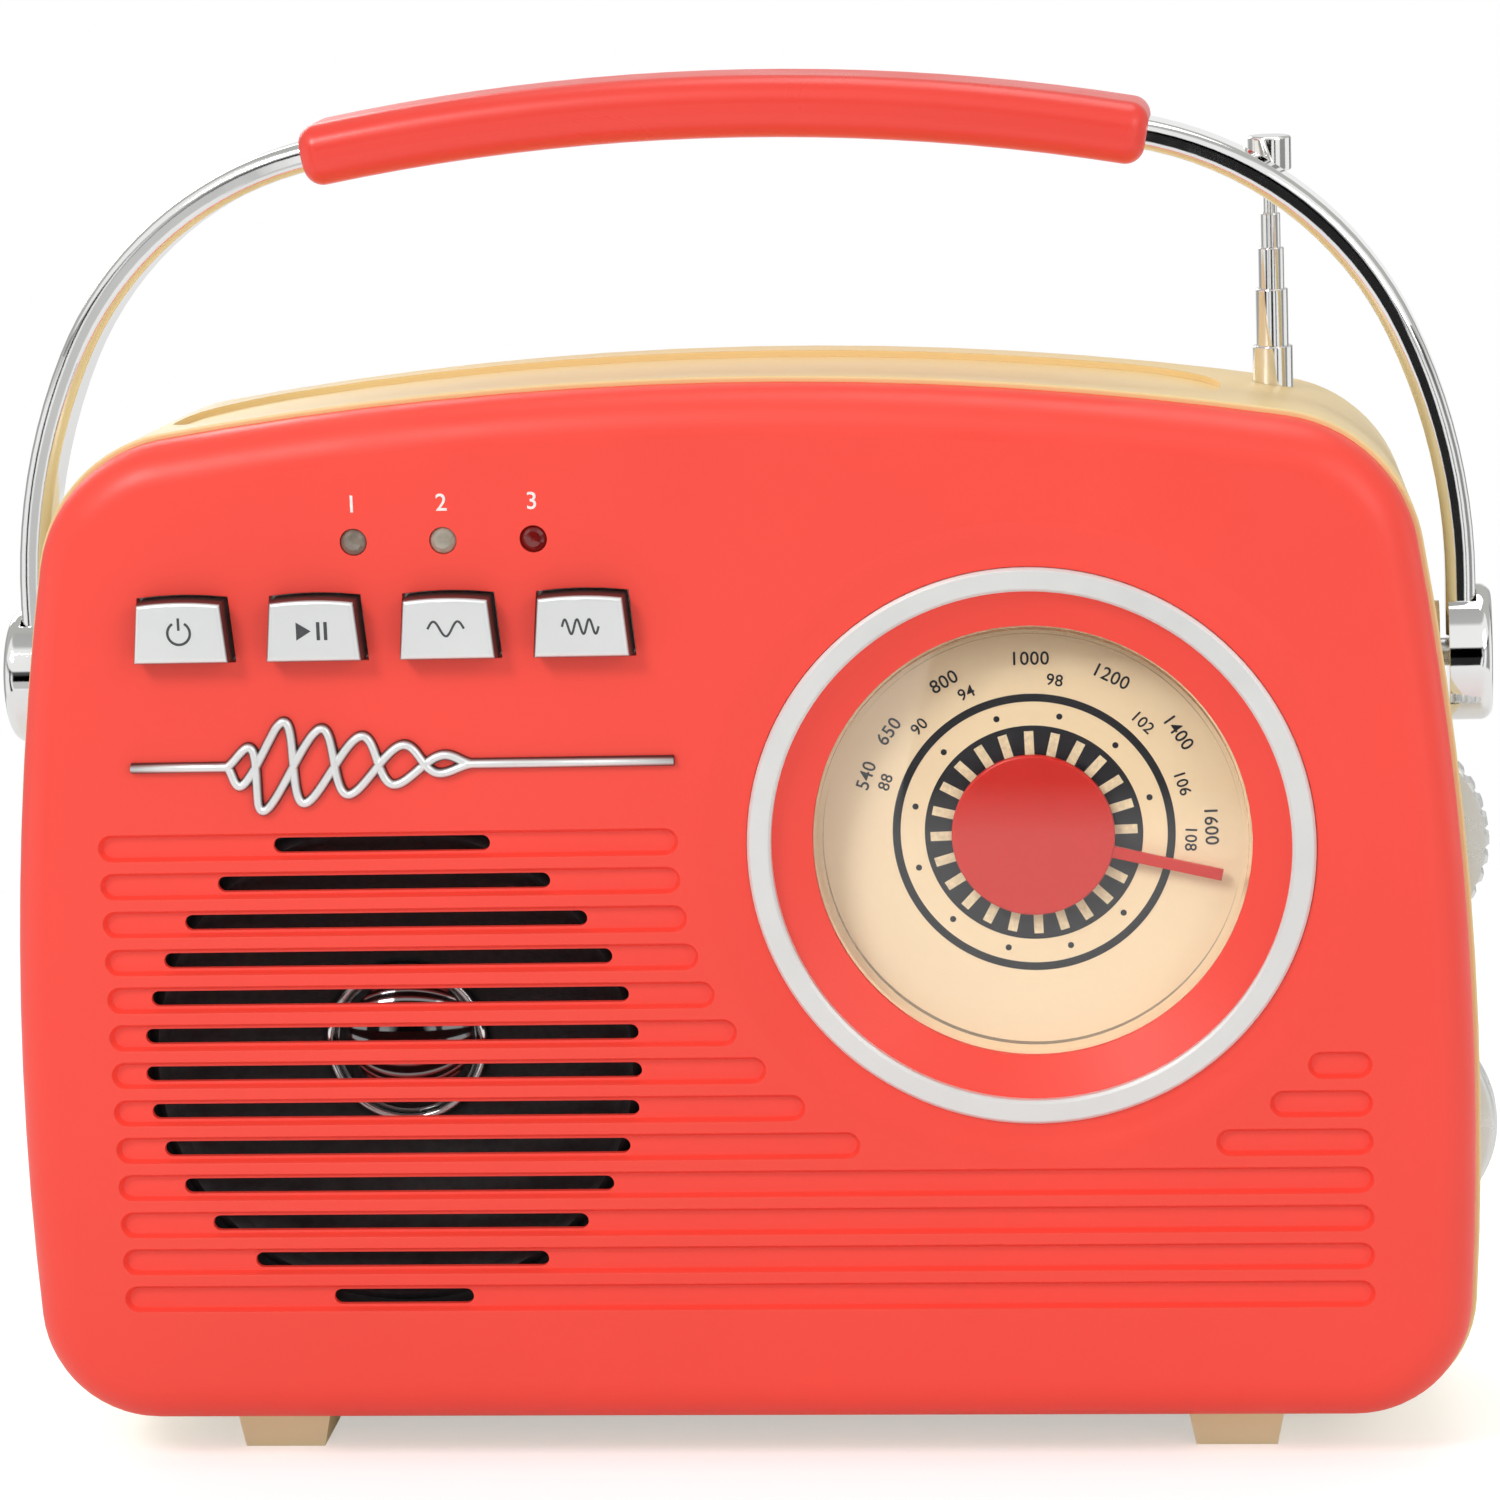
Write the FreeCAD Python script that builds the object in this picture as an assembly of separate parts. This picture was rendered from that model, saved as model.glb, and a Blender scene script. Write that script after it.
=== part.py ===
import FreeCAD, Part
import math
import os

# Portable transistor radio with a carrying handle and a telescopic aerial.
# Millimetres. X runs right, Y runs back, Z runs up, and the feet stand on z = 0.
# A place across the depth is given as a distance behind the front face, through back().

V = FreeCAD.Vector
X_AXIS = V(1, 0, 0)
Y_AXIS = V(0, 1, 0)
Z_AXIS = V(0, 0, 1)

# Case
BODY_WIDTH = 260.0            # widest, across the flanks
BODY_HEIGHT = 186.9           # from the flat underside to the crown
BODY_DEPTH = 78.0             # front face to back face
BULGE_HEIGHT = 53.7           # widest level above the underside
FLANK_RADIUS = 598.0
CROWN_RADIUS = 620.0
TOP_CORNER_RADIUS = 27.0
BOTTOM_CORNER_RADIUS = 21.0
FRONT_SHELL_DEPTH = 11.0
FRONT_EDGE_RADIUS = 8.0
BACK_EDGE_RADIUS = 8.0
WALL = 2.5
RIM_PROUD = 1.0               # the rear shell's rim stands outside the front shell
RIM_ROUND = 0.45
DRAFT_DEGREES = 2.3
FIT_GAP = 0.3                 # between pieces that move past each other
SEAT_GAP = 0.1                # between pieces that are fixed to each other
RUNNING_GAP = 0.05            # a shaft in its bore, on the radius

# Feet
FOOT_HEIGHT = 8.3
FOOT_X = 87.0
FOOT_TOP_WIDTH = 18.0
FOOT_BOTTOM_WIDTH = 14.6
FOOT_LENGTH = 16.0
FOOT_FRONT_DEPTHS = (14.5, 54.0)

# Grooves across the front
GROOVE_COUNT = 13
GROOVE_PITCH = 6.931
GROOVE_TOP_Z = 115.8
GROOVE_SIDE_MARGIN = 18.0     # from the case's widest line to the groove ends
GROOVE_MOUTH = 4.9
GROOVE_FLOOR = 3.6
GROOVE_DEPTH = 1.3
GROOVE_DIAL_GAP = 12.0        # from the dial ring's outside to the groove ends
GROOVE_SHORTEST = 8.0
GROOVE_SHORTEST_BREAK = 40.0  # a row whose break at the dial would be shorter runs on
SLIT_HEIGHT = 2.8

# Speaker
SPEAKER_X = -61.3
SPEAKER_Z = 75.5
GRILLE_RADIUS = 44.7
SPEAKER_RADIUS = 51.0
SPEAKER_GASKET = 2.5
SPEAKER_SHEET = 1.2
SURROUND_SHEET = 0.5
DUST_CAP_RADIUS = 14.4
DUST_CAP_DEPTH = 12.0         # how far the cap's crest lies behind the front face
CONE_THROAT_DEPTH = 19.0
CONE_SHEET = 0.8
MAGNET_RADIUS = 27.0
MAGNET_DEPTHS = (29.0, 40.0)
YOKE_SHEET = 3.0
COIL_RADIUS = 12.6
SPEAKER_LUG_REACH = 55.0

# Dial
DIAL_X = 53.2
DIAL_Z = 113.5
RING_OUTER_RADIUS = 49.7
RING_INNER_RADIUS = 45.5
RING_SETBACK = 0.6
RING_SHEET = 2.0
DISH_RADIUS = 58.0            # soft dish in the panel around the ring
DISH_DEPTH = 1.5
WINDOW_RADIUS = 38.6
WINDOW_DEPTH = 6.0
BOWL_WALL = 2.2
LENS_SHEET = 1.6
LENS_FLANGE = 2.6
PLATE_DEPTH = 14.5
PLATE_SHEET = 1.2
DIAL_CUP_WALL = 2.0
POINTER_DISC_RADIUS = 14.4
POINTER_DEPTH = 11.8
POINTER_SHEET = 1.2
POINTER_REACH = 34.0
POINTER_WIDTH = 2.0
POINTER_DEGREES = -13.0       # rest angle above the horizontal, to the right
DIAL_SHAFT_RADIUS = 1.5
DIAL_SCREW_OUTSET = 7.5       # from the window's edge to the screws' ring

# Tuning drive: a cord joins a small pulley on the thumb wheel to a large one on the pointer
WHEEL_RADIUS = 20.0
WHEEL_THICKNESS = 6.0
WHEEL_DEPTH = 23.0
TUNING_INSET = 16.7           # wheel axis to the case's widest line
TUNING_Z = 108.9
TUNING_TEETH = 36
VOLUME_INSET = 15.7
VOLUME_Z = 57.0
WHEEL_SHAFT_RADIUS = 3.0
POINTER_PULLEY_RADIUS = 16.0
WHEEL_PULLEY_RADIUS = 8.0
PULLEY_THICKNESS = 3.6
PULLEY_DEPTH = 19.0
CORD_RADIUS = 0.4

# Buttons and lamps
BUTTON_COUNT = 4
BUTTON_FIRST_X = -94.3
BUTTON_PITCH = 23.6
BUTTON_Z = 155.2
BUTTON_WIDTH = 16.9
BUTTON_TOP_WIDTH = 15.0
BUTTON_HEIGHT = 11.0
BUTTON_PROUD = 4.5
BUTTON_GAP = 0.6
BUTTON_TRAVEL = 1.5
BUTTON_FLANGE = 1.2
LAMP_X = (-63.4, -47.6, -31.7)
LAMP_Z = 170.0
LAMP_RADIUS = 2.3
LAMP_PROUD = 0.5
CONTROL_BOARD_DEPTH = 16.0
BOARD_SHEET = 1.6

# Chrome trim
TRIM_LEFT = -106.0
TRIM_RIGHT = -7.6
TRIM_Z = 130.4
TRIM_HEIGHT = 1.9
TRIM_PROUD = 1.2
SCROLL_LEFT = -89.0
SCROLL_RADIUS = 5.4
SCROLL_COUNT = 4

# Handle
HUB_RADIUS = 12.2
HUB_PROUD = 4.4               # hub's outer face beyond the case's widest line
HUB_DROP = 55.2               # pivot below the crown
HUB_DEPTH = 39.5
HUB_SIDE_GAP = 0.5
STRAP_THICKNESS = 5.3
STRAP_WIDTH = 13.0
STRAP_CORNER = 2.0
STRAP_FOOT_LIFT = 4.0         # pivot to the strap's end in the hub
STRAP_RISE = 46.0             # crown to the strap's centre at the middle of the grip
STRAP_CROWN_RADIUS = 400.0
STRAP_CROWN_DEGREES = 10.5
STRAP_FLANK_DEGREES = 65.0
STRAP_STRAIGHT = 14.0         # upright run above the pivot
STRAP_INSET = 2.8             # hub's outer face to the strap's outer face
GRIP_HALF_LENGTH = 75.5
GRIP_THICKNESS = 11.0
GRIP_WIDTH = 22.0
GRIP_END_ROUND = 3.4
BOLT_RADIUS = 2.5

# Aerial
AERIAL_INSET = 33.7           # aerial to the case's widest line
AERIAL_BACK_INSET = 23.0      # aerial to the back face
AERIAL_BOTTOM_Z = 90.0
AERIAL_RADII = (3.6, 2.9, 2.3, 1.75, 1.2)
AERIAL_RISES = (-1.3, 9.0, 16.4, 22.6, 30.2)   # crown to each section's top
AERIAL_SHEET = 0.3
AERIAL_CAP_RADIUS = 3.9
AERIAL_CAP_LENGTH = 6.2

# Batteries and door
CELL_RADIUS = 12.9
CELL_LENGTH = 49.0
CELL_CLEARANCE = 0.6
BAY_INSET = 32.0              # case's widest line to the bay's right end
BAY_BOTTOM_Z = 23.0
BAY_WALL = 1.6
CONTACT_ROOM = 4.0
DOOR_SHEET = 2.4
DOOR_OVERLAP = 3.0
DOOR_GAP = 0.5
DOOR_SEAT = 2.6               # room between the cells and the door

# Boards, rod and fixings
MAIN_BOARD_DEPTH = 36.0
SCREW_RADIUS = 1.45
SCREW_HEAD_RADIUS = 2.9
SCREW_HEAD_HEIGHT = 2.0
PILOT_RADIUS = 1.5
BOSS_RADIUS = 3.6
CASE_TUBE_RADIUS = 5.0
CASE_JOIN_DEPTH = 26.0
CASE_SCREW_LIFT = 14.5        # underside to the lower screws
CASE_SCREW_DROPS = (43.0, 34.0)
CASE_SCREW_INSET = 22.7       # flank to a screw's axis
CASE_SCREW_CLOSE_INSET = 10.7
BOARD_LEFT = -4.0
BOARD_RIGHT = 108.0
BOARD_BOTTOM_Z = 28.0
BOARD_TOP_Z = 156.0
BOARD_TAB_REACH = 9.2         # beyond the tuning shaft's axis
ROD_START_X = 4.0
ROD_LIFT = 8.0                # the board's top edge to the rod's axis
ROD_RADIUS = 5.0
ROD_LENGTH = 90.0
JACK_Z = 98.0
JACK_LENGTH = 14.0
AUDIO_JACK_X = -20.0
AUDIO_JACK_RADIUS = 3.9
AUDIO_BORE_RADIUS = 1.8
POWER_JACK_X = -31.0
POWER_JACK_RADIUS = 4.9
POWER_BORE_RADIUS = 3.1
POWER_PIN_RADIUS = 1.0

# Recess in the top
RECESS_LEFT = -101.0
RECESS_RIGHT = 87.0
RECESS_DEPTHS = (16.5, 61.0)
RECESS_CORNER = 18.0
RECESS_SINK = 1.2

# Places worked out from the sizes above
FRONT_Y = -(BODY_DEPTH - BUTTON_PROUD) / 2
UNDERSIDE_Z = FOOT_HEIGHT
CROWN_Z = UNDERSIDE_Z + BODY_HEIGHT
HALF_WIDTH = BODY_WIDTH / 2
BULGE_Z = UNDERSIDE_Z + BULGE_HEIGHT
BACK_INSET = (BODY_DEPTH - FRONT_SHELL_DEPTH) * math.tan(math.radians(DRAFT_DEGREES)) - RIM_PROUD
BAY_LENGTH = 2 * CELL_LENGTH + CONTACT_ROOM
CELL_ROW = 2 * (CELL_RADIUS + CELL_CLEARANCE)
BAY_RIGHT = HALF_WIDTH - BAY_INSET
BAY_LEFT = BAY_RIGHT - BAY_LENGTH
DIAL_SCREW_RING = WINDOW_RADIUS + DIAL_SCREW_OUTSET
BAY_DEPTH = BODY_DEPTH - DOOR_SHEET - DOOR_SEAT - CELL_ROW
GROOVE_END_X = HALF_WIDTH - GROOVE_SIDE_MARGIN
TUNING_X = HALF_WIDTH - TUNING_INSET
VOLUME_X = HALF_WIDTH - VOLUME_INSET
HUB_OUTER_X = HALF_WIDTH + HUB_PROUD
HUB_Z = CROWN_Z - HUB_DROP
STRAP_TOP_Z = CROWN_Z + STRAP_RISE
AERIAL_TOPS = tuple(CROWN_Z + rise for rise in AERIAL_RISES)
AERIAL_X = HALF_WIDTH - AERIAL_INSET
AERIAL_DEPTH = BODY_DEPTH - AERIAL_BACK_INSET
BAY_TOP_Z = BAY_BOTTOM_Z + 2 * CELL_ROW


def back(depth):
    """The y of a plane at a depth behind the front face."""
    return FRONT_Y + depth


# ---------------------------------------------------------------- shape helpers

def box(x0, x1, y0, y1, z0, z1):
    """A block between two corners."""
    return Part.makeBox(x1 - x0, y1 - y0, z1 - z0, V(x0, y0, z0))


def rod(radius, start, axis, length):
    """A round bar from a point along an axis."""
    return Part.makeCylinder(radius, length, start, axis)


def rod_y(radius, x, z, depth0, depth1):
    """A round bar along Y between two depths."""
    return rod(radius, V(x, back(depth0), z), Y_AXIS, depth1 - depth0)


def tube_y(outer, inner, x, z, depth0, depth1):
    """A tube along Y between two depths."""
    return rod_y(outer, x, z, depth0, depth1).cut(rod_y(inner, x, z, depth0 - 1, depth1 + 1))


def fuse(shapes):
    """One solid from touching or overlapping shapes."""
    return shapes[0].multiFuse(shapes[1:]).removeSplitter()


def group(shapes):
    """Separate solids kept together in one node."""
    return Part.makeCompound(shapes)


def prism(wire, direction):
    """A closed wire pushed along a vector."""
    return Part.Face(wire).extrude(direction)


def polygon_xz(points, y):
    """A closed polygon in a plane of constant y."""
    corners = [V(x, y, z) for x, z in points]
    return Part.makePolygon(corners + corners[:1])


def turned_y(x, z, profile):
    """A solid turned about a Y line; the profile lists (radius, depth)."""
    corners = [V(x + r, back(d), z) for r, d in profile]
    face = Part.Face(Part.makePolygon(corners + corners[:1]))
    return face.revolve(V(x, 0, z), Y_AXIS, 360)


def stadium(x0, x1, z, height, y):
    """A level slot outline with round ends."""
    r = height / 2
    top = Part.makeLine(V(x0 + r, y, z + r), V(x1 - r, y, z + r))
    right = Part.Arc(V(x1 - r, y, z + r), V(x1, y, z), V(x1 - r, y, z - r)).toShape()
    bottom = Part.makeLine(V(x1 - r, y, z - r), V(x0 + r, y, z - r))
    left = Part.Arc(V(x0 + r, y, z - r), V(x0, y, z), V(x0 + r, y, z + r)).toShape()
    return Part.Wire([top, right, bottom, left])


def edges_at_y(shape, y):
    """The edges that lie wholly in a plane of constant y."""
    return [e for e in shape.Edges
            if abs(e.BoundBox.YMin - y) < 1e-4 and abs(e.BoundBox.YMax - y) < 1e-4]


def pan_screw(x, z, head_depth, length):
    """A screw driven forwards: its head's underside is at head_depth, and its point is in front."""
    head = rod_y(SCREW_HEAD_RADIUS, x, z, head_depth, head_depth + SCREW_HEAD_HEIGHT)
    slot = box(x - SCREW_HEAD_RADIUS, x + SCREW_HEAD_RADIUS, back(head_depth + 1.2),
               back(head_depth + SCREW_HEAD_HEIGHT + 1), z - 0.4, z + 0.4)
    shank = rod_y(SCREW_RADIUS, x, z, head_depth - length, head_depth + 0.5)
    return fuse([head.cut(slot), shank])


# ---------------------------------------------------------------- case outline

def side_x(z):
    """Half the case's width at a height on the flank."""
    return HALF_WIDTH - FLANK_RADIUS + math.sqrt(FLANK_RADIUS ** 2 - (z - BULGE_Z) ** 2)


def meeting_point(centre_a, radius_a, centre_b, radius_b, pick):
    """Where two circles in the XZ plane cross; pick is +1 or -1 for the side of the centre line."""
    across = centre_b.sub(centre_a)
    gap = across.Length
    along = (gap ** 2 + radius_a ** 2 - radius_b ** 2) / (2 * gap)
    off = math.sqrt(radius_a ** 2 - along ** 2)
    unit = V(across).normalize()
    return centre_a + unit * along + V(-unit.z, 0, unit.x) * off * pick


def toward(start, target, distance):
    """The point at a distance from start on the way to target."""
    return start + V(target.sub(start)).normalize() * distance


def mirrored_x(point):
    return V(-point.x, point.y, point.z)


def case_outline(inset, y):
    """The case's front outline, moved inwards by inset: crown, flanks and four round corners."""
    crown = V(0, 0, CROWN_Z - CROWN_RADIUS)
    flank = V(HALF_WIDTH - FLANK_RADIUS, 0, BULGE_Z)
    top = meeting_point(crown, CROWN_RADIUS - TOP_CORNER_RADIUS,
                        flank, FLANK_RADIUS - TOP_CORNER_RADIUS, -1)
    low_z = UNDERSIDE_Z + BOTTOM_CORNER_RADIUS
    low_reach = FLANK_RADIUS - BOTTOM_CORNER_RADIUS
    low_x = flank.x + math.sqrt(low_reach ** 2 - (low_z - BULGE_Z) ** 2)
    low = V(low_x, 0, low_z)
    top_r = TOP_CORNER_RADIUS - inset
    low_r = BOTTOM_CORNER_RADIUS - inset
    p1 = toward(crown, top, CROWN_RADIUS - inset)
    p3 = toward(flank, top, FLANK_RADIUS - inset)
    p2 = toward(top, (p1 + p3) * 0.5, top_r)
    p4 = V(flank.x + FLANK_RADIUS - inset, 0, BULGE_Z)
    p5 = toward(flank, low, FLANK_RADIUS - inset)
    p7 = V(low.x, 0, low.z - low_r)
    p6 = toward(low, (p5 + p7) * 0.5, low_r)
    right = [(p1, p2, p3), (p3, p4, p5), (p5, p6, p7)]
    left = [tuple(mirrored_x(p) for p in reversed(arc)) for arc in reversed(right)]
    lift = V(0, y, 0)
    edges = [Part.Arc(a + lift, b + lift, c + lift).toShape() for a, b, c in right]
    edges.append(Part.makeLine(p7 + lift, mirrored_x(p7) + lift))
    edges += [Part.Arc(a + lift, b + lift, c + lift).toShape() for a, b, c in left]
    over = V(0, 0, CROWN_Z - inset)
    edges.append(Part.Arc(mirrored_x(p1) + lift, over + lift, p1 + lift).toShape())
    return Part.Wire(edges)


def front_block(inset):
    """The front shell's outside, or its hollow when inset is the wall."""
    start = back(inset)
    block = prism(case_outline(inset, start), V(0, FRONT_SHELL_DEPTH - inset, 0))
    return block.makeFillet(FRONT_EDGE_RADIUS - inset, edges_at_y(block, start))


def rear_block(inset, round_rim):
    """The rear shell's tapering outside, or its hollow when inset is the wall."""
    start = back(FRONT_SHELL_DEPTH)
    end = back(BODY_DEPTH) - inset
    block = Part.makeLoft([case_outline(inset - RIM_PROUD, start),
                           case_outline(inset + BACK_INSET, end)], True, True)
    block = block.makeFillet(BACK_EDGE_RADIUS - inset, edges_at_y(block, end))
    if round_rim:
        block = block.makeFillet(RIM_ROUND, edges_at_y(block, start))
    return block


# ---------------------------------------------------------------- front shell

def groove_rows():
    """Each front groove as (left, right, z): the ends follow the round dial."""
    clear = RING_OUTER_RADIUS + GROOVE_DIAL_GAP
    rows = []
    for k in range(GROOVE_COUNT):
        z = GROOVE_TOP_Z - k * GROOVE_PITCH
        rise = abs(z - DIAL_Z)
        half = math.sqrt(max(clear ** 2 - rise ** 2, 0.0))
        if 2 * half < GROOVE_SHORTEST_BREAK:
            rows.append((-GROOVE_END_X, GROOVE_END_X, z))
            continue
        rows.append((-GROOVE_END_X, DIAL_X - half, z))
        if z < DIAL_Z and GROOVE_END_X - (DIAL_X + half) > GROOVE_SHORTEST:
            rows.append((DIAL_X + half, GROOVE_END_X, z))
    return rows


def groove_cutter(x0, x1, z):
    """A groove with sloping sides."""
    y = back(0)
    taper = (GROOVE_MOUTH - GROOVE_FLOOR) / 2
    mouth = stadium(x0, x1, z, GROOVE_MOUTH, y)
    floor = stadium(x0 + taper, x1 - taper, z, GROOVE_FLOOR, y + GROOVE_DEPTH)
    lead = Part.Face(mouth).extrude(V(0, -1, 0))
    return Part.makeLoft([mouth, floor], True, True).fuse(lead)


def slit_cutters():
    """The openings in front of the speaker, kept inside a circle."""
    slits = []
    for k in range(GROOVE_COUNT):
        z = GROOVE_TOP_Z - k * GROOVE_PITCH
        half = math.sqrt(max(GRILLE_RADIUS ** 2 - (z - SPEAKER_Z) ** 2, 0.0))
        if half > SLIT_HEIGHT:
            wire = stadium(SPEAKER_X - half, SPEAKER_X + half, z, SLIT_HEIGHT, back(-1))
            slits.append(prism(wire, V(0, WALL + 2, 0)))
    return slits


def dial_dish():
    """The soft dish around the dial ring: two arcs that meet without a corner."""
    r0 = RING_OUTER_RADIUS - 0.5
    mid = (DISH_RADIUS + RING_OUTER_RADIUS) / 2
    y = back(0)
    outer = V(DIAL_X + DISH_RADIUS, y, DIAL_Z)
    joint = V(DIAL_X + mid, y + DISH_DEPTH / 2, DIAL_Z)
    inner = V(DIAL_X + RING_OUTER_RADIUS, y + DISH_DEPTH, DIAL_Z)
    quarter = (DISH_RADIUS - RING_OUTER_RADIUS) / 4
    bend = DISH_DEPTH / 8
    edges = [Part.Arc(outer, V(DIAL_X + mid + quarter, y + bend, DIAL_Z), joint).toShape(),
             Part.Arc(joint, V(DIAL_X + mid - quarter, y + DISH_DEPTH - bend, DIAL_Z), inner).toShape(),
             Part.makeLine(inner, V(DIAL_X + r0, y + DISH_DEPTH, DIAL_Z)),
             Part.makeLine(V(DIAL_X + r0, y + DISH_DEPTH, DIAL_Z), V(DIAL_X + r0, y - 1, DIAL_Z)),
             Part.makeLine(V(DIAL_X + r0, y - 1, DIAL_Z), V(DIAL_X + DISH_RADIUS, y - 1, DIAL_Z)),
             Part.makeLine(V(DIAL_X + DISH_RADIUS, y - 1, DIAL_Z), outer)]
    face = Part.Face(Part.Wire(edges))
    return face.revolve(V(DIAL_X, 0, DIAL_Z), Y_AXIS, 360)


def key_outline(grow, y, index):
    """A piano-key face: narrower at the top, with an arched top edge."""
    x = BUTTON_FIRST_X + index * BUTTON_PITCH
    low = BUTTON_Z - BUTTON_HEIGHT / 2 - grow
    high = BUTTON_Z + BUTTON_HEIGHT / 2 + grow
    half_low = BUTTON_WIDTH / 2 + grow
    half_high = BUTTON_TOP_WIDTH / 2 + grow
    arch = 0.5
    corners = [V(x - half_low, y, low), V(x + half_low, y, low),
               V(x + half_high, y, high - arch), V(x - half_high, y, high - arch)]
    return Part.Wire([Part.makeLine(corners[0], corners[1]),
                      Part.makeLine(corners[1], corners[2]),
                      Part.Arc(corners[2], V(x, y, high), corners[3]).toShape(),
                      Part.makeLine(corners[3], corners[0])])


def case_screw_places():
    """The rear screws as (x, z): four set in from the flanks, one below and one above."""
    low = UNDERSIDE_Z + CASE_SCREW_LIFT
    high_left = CROWN_Z - CASE_SCREW_DROPS[0]
    high_right = CROWN_Z - CASE_SCREW_DROPS[1]
    return [(CASE_SCREW_INSET - side_x(low), low), (side_x(low) - CASE_SCREW_INSET, low),
            (CASE_SCREW_CLOSE_INSET - side_x(high_left), high_left),
            (side_x(high_right) - CASE_SCREW_INSET, high_right),
            (SPEAKER_X + SPEAKER_RADIUS - 9.0, UNDERSIDE_Z + 9.5), (0.0, CROWN_Z - 12.0)]


def speaker_screw_places():
    reach = SPEAKER_LUG_REACH / math.sqrt(2)
    return [(SPEAKER_X + sx * reach, SPEAKER_Z + sz * reach) for sx in (-1, 1) for sz in (-1, 1)]


def dial_screw_places():
    return [(DIAL_X + DIAL_SCREW_RING * math.cos(math.radians(a)),
             DIAL_Z + DIAL_SCREW_RING * math.sin(math.radians(a))) for a in (90, 210, 330)]


def control_board_places():
    left = BUTTON_FIRST_X - 3.0
    right = BUTTON_FIRST_X + (BUTTON_COUNT - 1) * BUTTON_PITCH + 3.0
    low = BUTTON_Z - BUTTON_HEIGHT / 2 - BUTTON_GAP - BUTTON_FLANGE - BOSS_RADIUS - 1.5
    return [(left, low), (right, low), (left + 11.0, LAMP_Z), (right, LAMP_Z)]


def main_board_places():
    left = BOARD_LEFT + 6.0
    low = BOARD_BOTTOM_Z + 6.0
    high = BOARD_TOP_Z - 6.0
    return [(left, low), (BOARD_RIGHT - 24.0, low), (left, high), (BOARD_RIGHT - 8.0, high)]


def make_front_shell():
    block = front_block(0.0)
    hollow = front_block(WALL)
    bowl = turned_y(DIAL_X, DIAL_Z, [
        (RING_OUTER_RADIUS + 1.5, WALL - 0.5), (RING_OUTER_RADIUS + 1.5, WALL + 1.6),
        (RING_INNER_RADIUS + 0.6, WALL + 1.6), (WINDOW_RADIUS + BOWL_WALL, WINDOW_DEPTH + BOWL_WALL),
        (WINDOW_RADIUS, WINDOW_DEPTH + BOWL_WALL), (WINDOW_RADIUS, WALL - 0.5)])
    shell = block.cut(hollow)
    bosses = [rod_y(BOSS_RADIUS, x, z, WALL - 0.2, WALL + SPEAKER_GASKET + SURROUND_SHEET)
              for x, z in speaker_screw_places()]
    bosses += [rod_y(BOSS_RADIUS, x, z, WALL - 0.2, CASE_JOIN_DEPTH) for x, z in case_screw_places()]
    bosses += [rod_y(BOSS_RADIUS, x, z, WALL - 0.2, PLATE_DEPTH) for x, z in dial_screw_places()]
    bosses += [rod_y(BOSS_RADIUS, x, z, WALL - 0.2, CONTROL_BOARD_DEPTH)
               for x, z in control_board_places()]
    bosses += [rod_y(BOSS_RADIUS, x, z, WALL - 0.2, MAIN_BOARD_DEPTH) for x, z in main_board_places()]
    shell = shell.multiFuse([bowl] + bosses)
    cutters = [groove_cutter(*row) for row in groove_rows()]
    cutters += slit_cutters()
    cutters.append(dial_dish())
    cutters.append(turned_y(DIAL_X, DIAL_Z, [
        (0, -1), (RING_OUTER_RADIUS + SEAT_GAP, -1),
        (RING_OUTER_RADIUS + SEAT_GAP, RING_SETBACK + RING_SHEET),
        (RING_INNER_RADIUS, RING_SETBACK + RING_SHEET), (WINDOW_RADIUS, WINDOW_DEPTH),
        (WINDOW_RADIUS, PLATE_DEPTH), (0, PLATE_DEPTH)]))
    cutters += [prism(key_outline(BUTTON_GAP, back(-1), i), V(0, WALL + 2, 0))
                for i in range(BUTTON_COUNT)]
    cutters += [rod_y(LAMP_RADIUS + SEAT_GAP, x, LAMP_Z, -1, WALL + 1) for x in LAMP_X]
    pilots = [(speaker_screw_places(), WALL + SPEAKER_GASKET + SURROUND_SHEET, WALL),
              (case_screw_places(), CASE_JOIN_DEPTH, CASE_JOIN_DEPTH - 10.0),
              (dial_screw_places(), PLATE_DEPTH, PLATE_DEPTH - 6.0),
              (control_board_places(), CONTROL_BOARD_DEPTH, CONTROL_BOARD_DEPTH - 6.0),
              (main_board_places(), MAIN_BOARD_DEPTH, MAIN_BOARD_DEPTH - 6.0)]
    for places, mouth, floor in pilots:
        cutters += [rod_y(PILOT_RADIUS, x, z, floor, mouth + 1) for x, z in places]
    return shell.cut(Part.makeCompound(cutters)).removeSplitter()


# ---------------------------------------------------------------- rear shell

def hub_face_x():
    """The outside of the rear shell at the handle's pivot."""
    lean = (HUB_DEPTH - FRONT_SHELL_DEPTH) * math.tan(math.radians(DRAFT_DEGREES))
    return side_x(HUB_Z - HUB_RADIUS) + RIM_PROUD - lean


def wheel_slot(x, z):
    """The slot in the flank that a thumb wheel turns in."""
    return rod_y(WHEEL_RADIUS + 1.0, x, z, WHEEL_DEPTH - 1.0, WHEEL_DEPTH + WHEEL_THICKNESS + 1.0)


def door_outline(grow, y):
    """The battery door's outline, with a straight lower edge at its hinge."""
    return polygon_xz([(BAY_LEFT - DOOR_OVERLAP - grow, BAY_BOTTOM_Z - grow),
                       (BAY_RIGHT + DOOR_OVERLAP + grow, BAY_BOTTOM_Z - grow),
                       (BAY_RIGHT + DOOR_OVERLAP + grow, BAY_TOP_Z + DOOR_OVERLAP + grow),
                       (BAY_LEFT - DOOR_OVERLAP - grow, BAY_TOP_Z + DOOR_OVERLAP + grow)], y)


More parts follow.
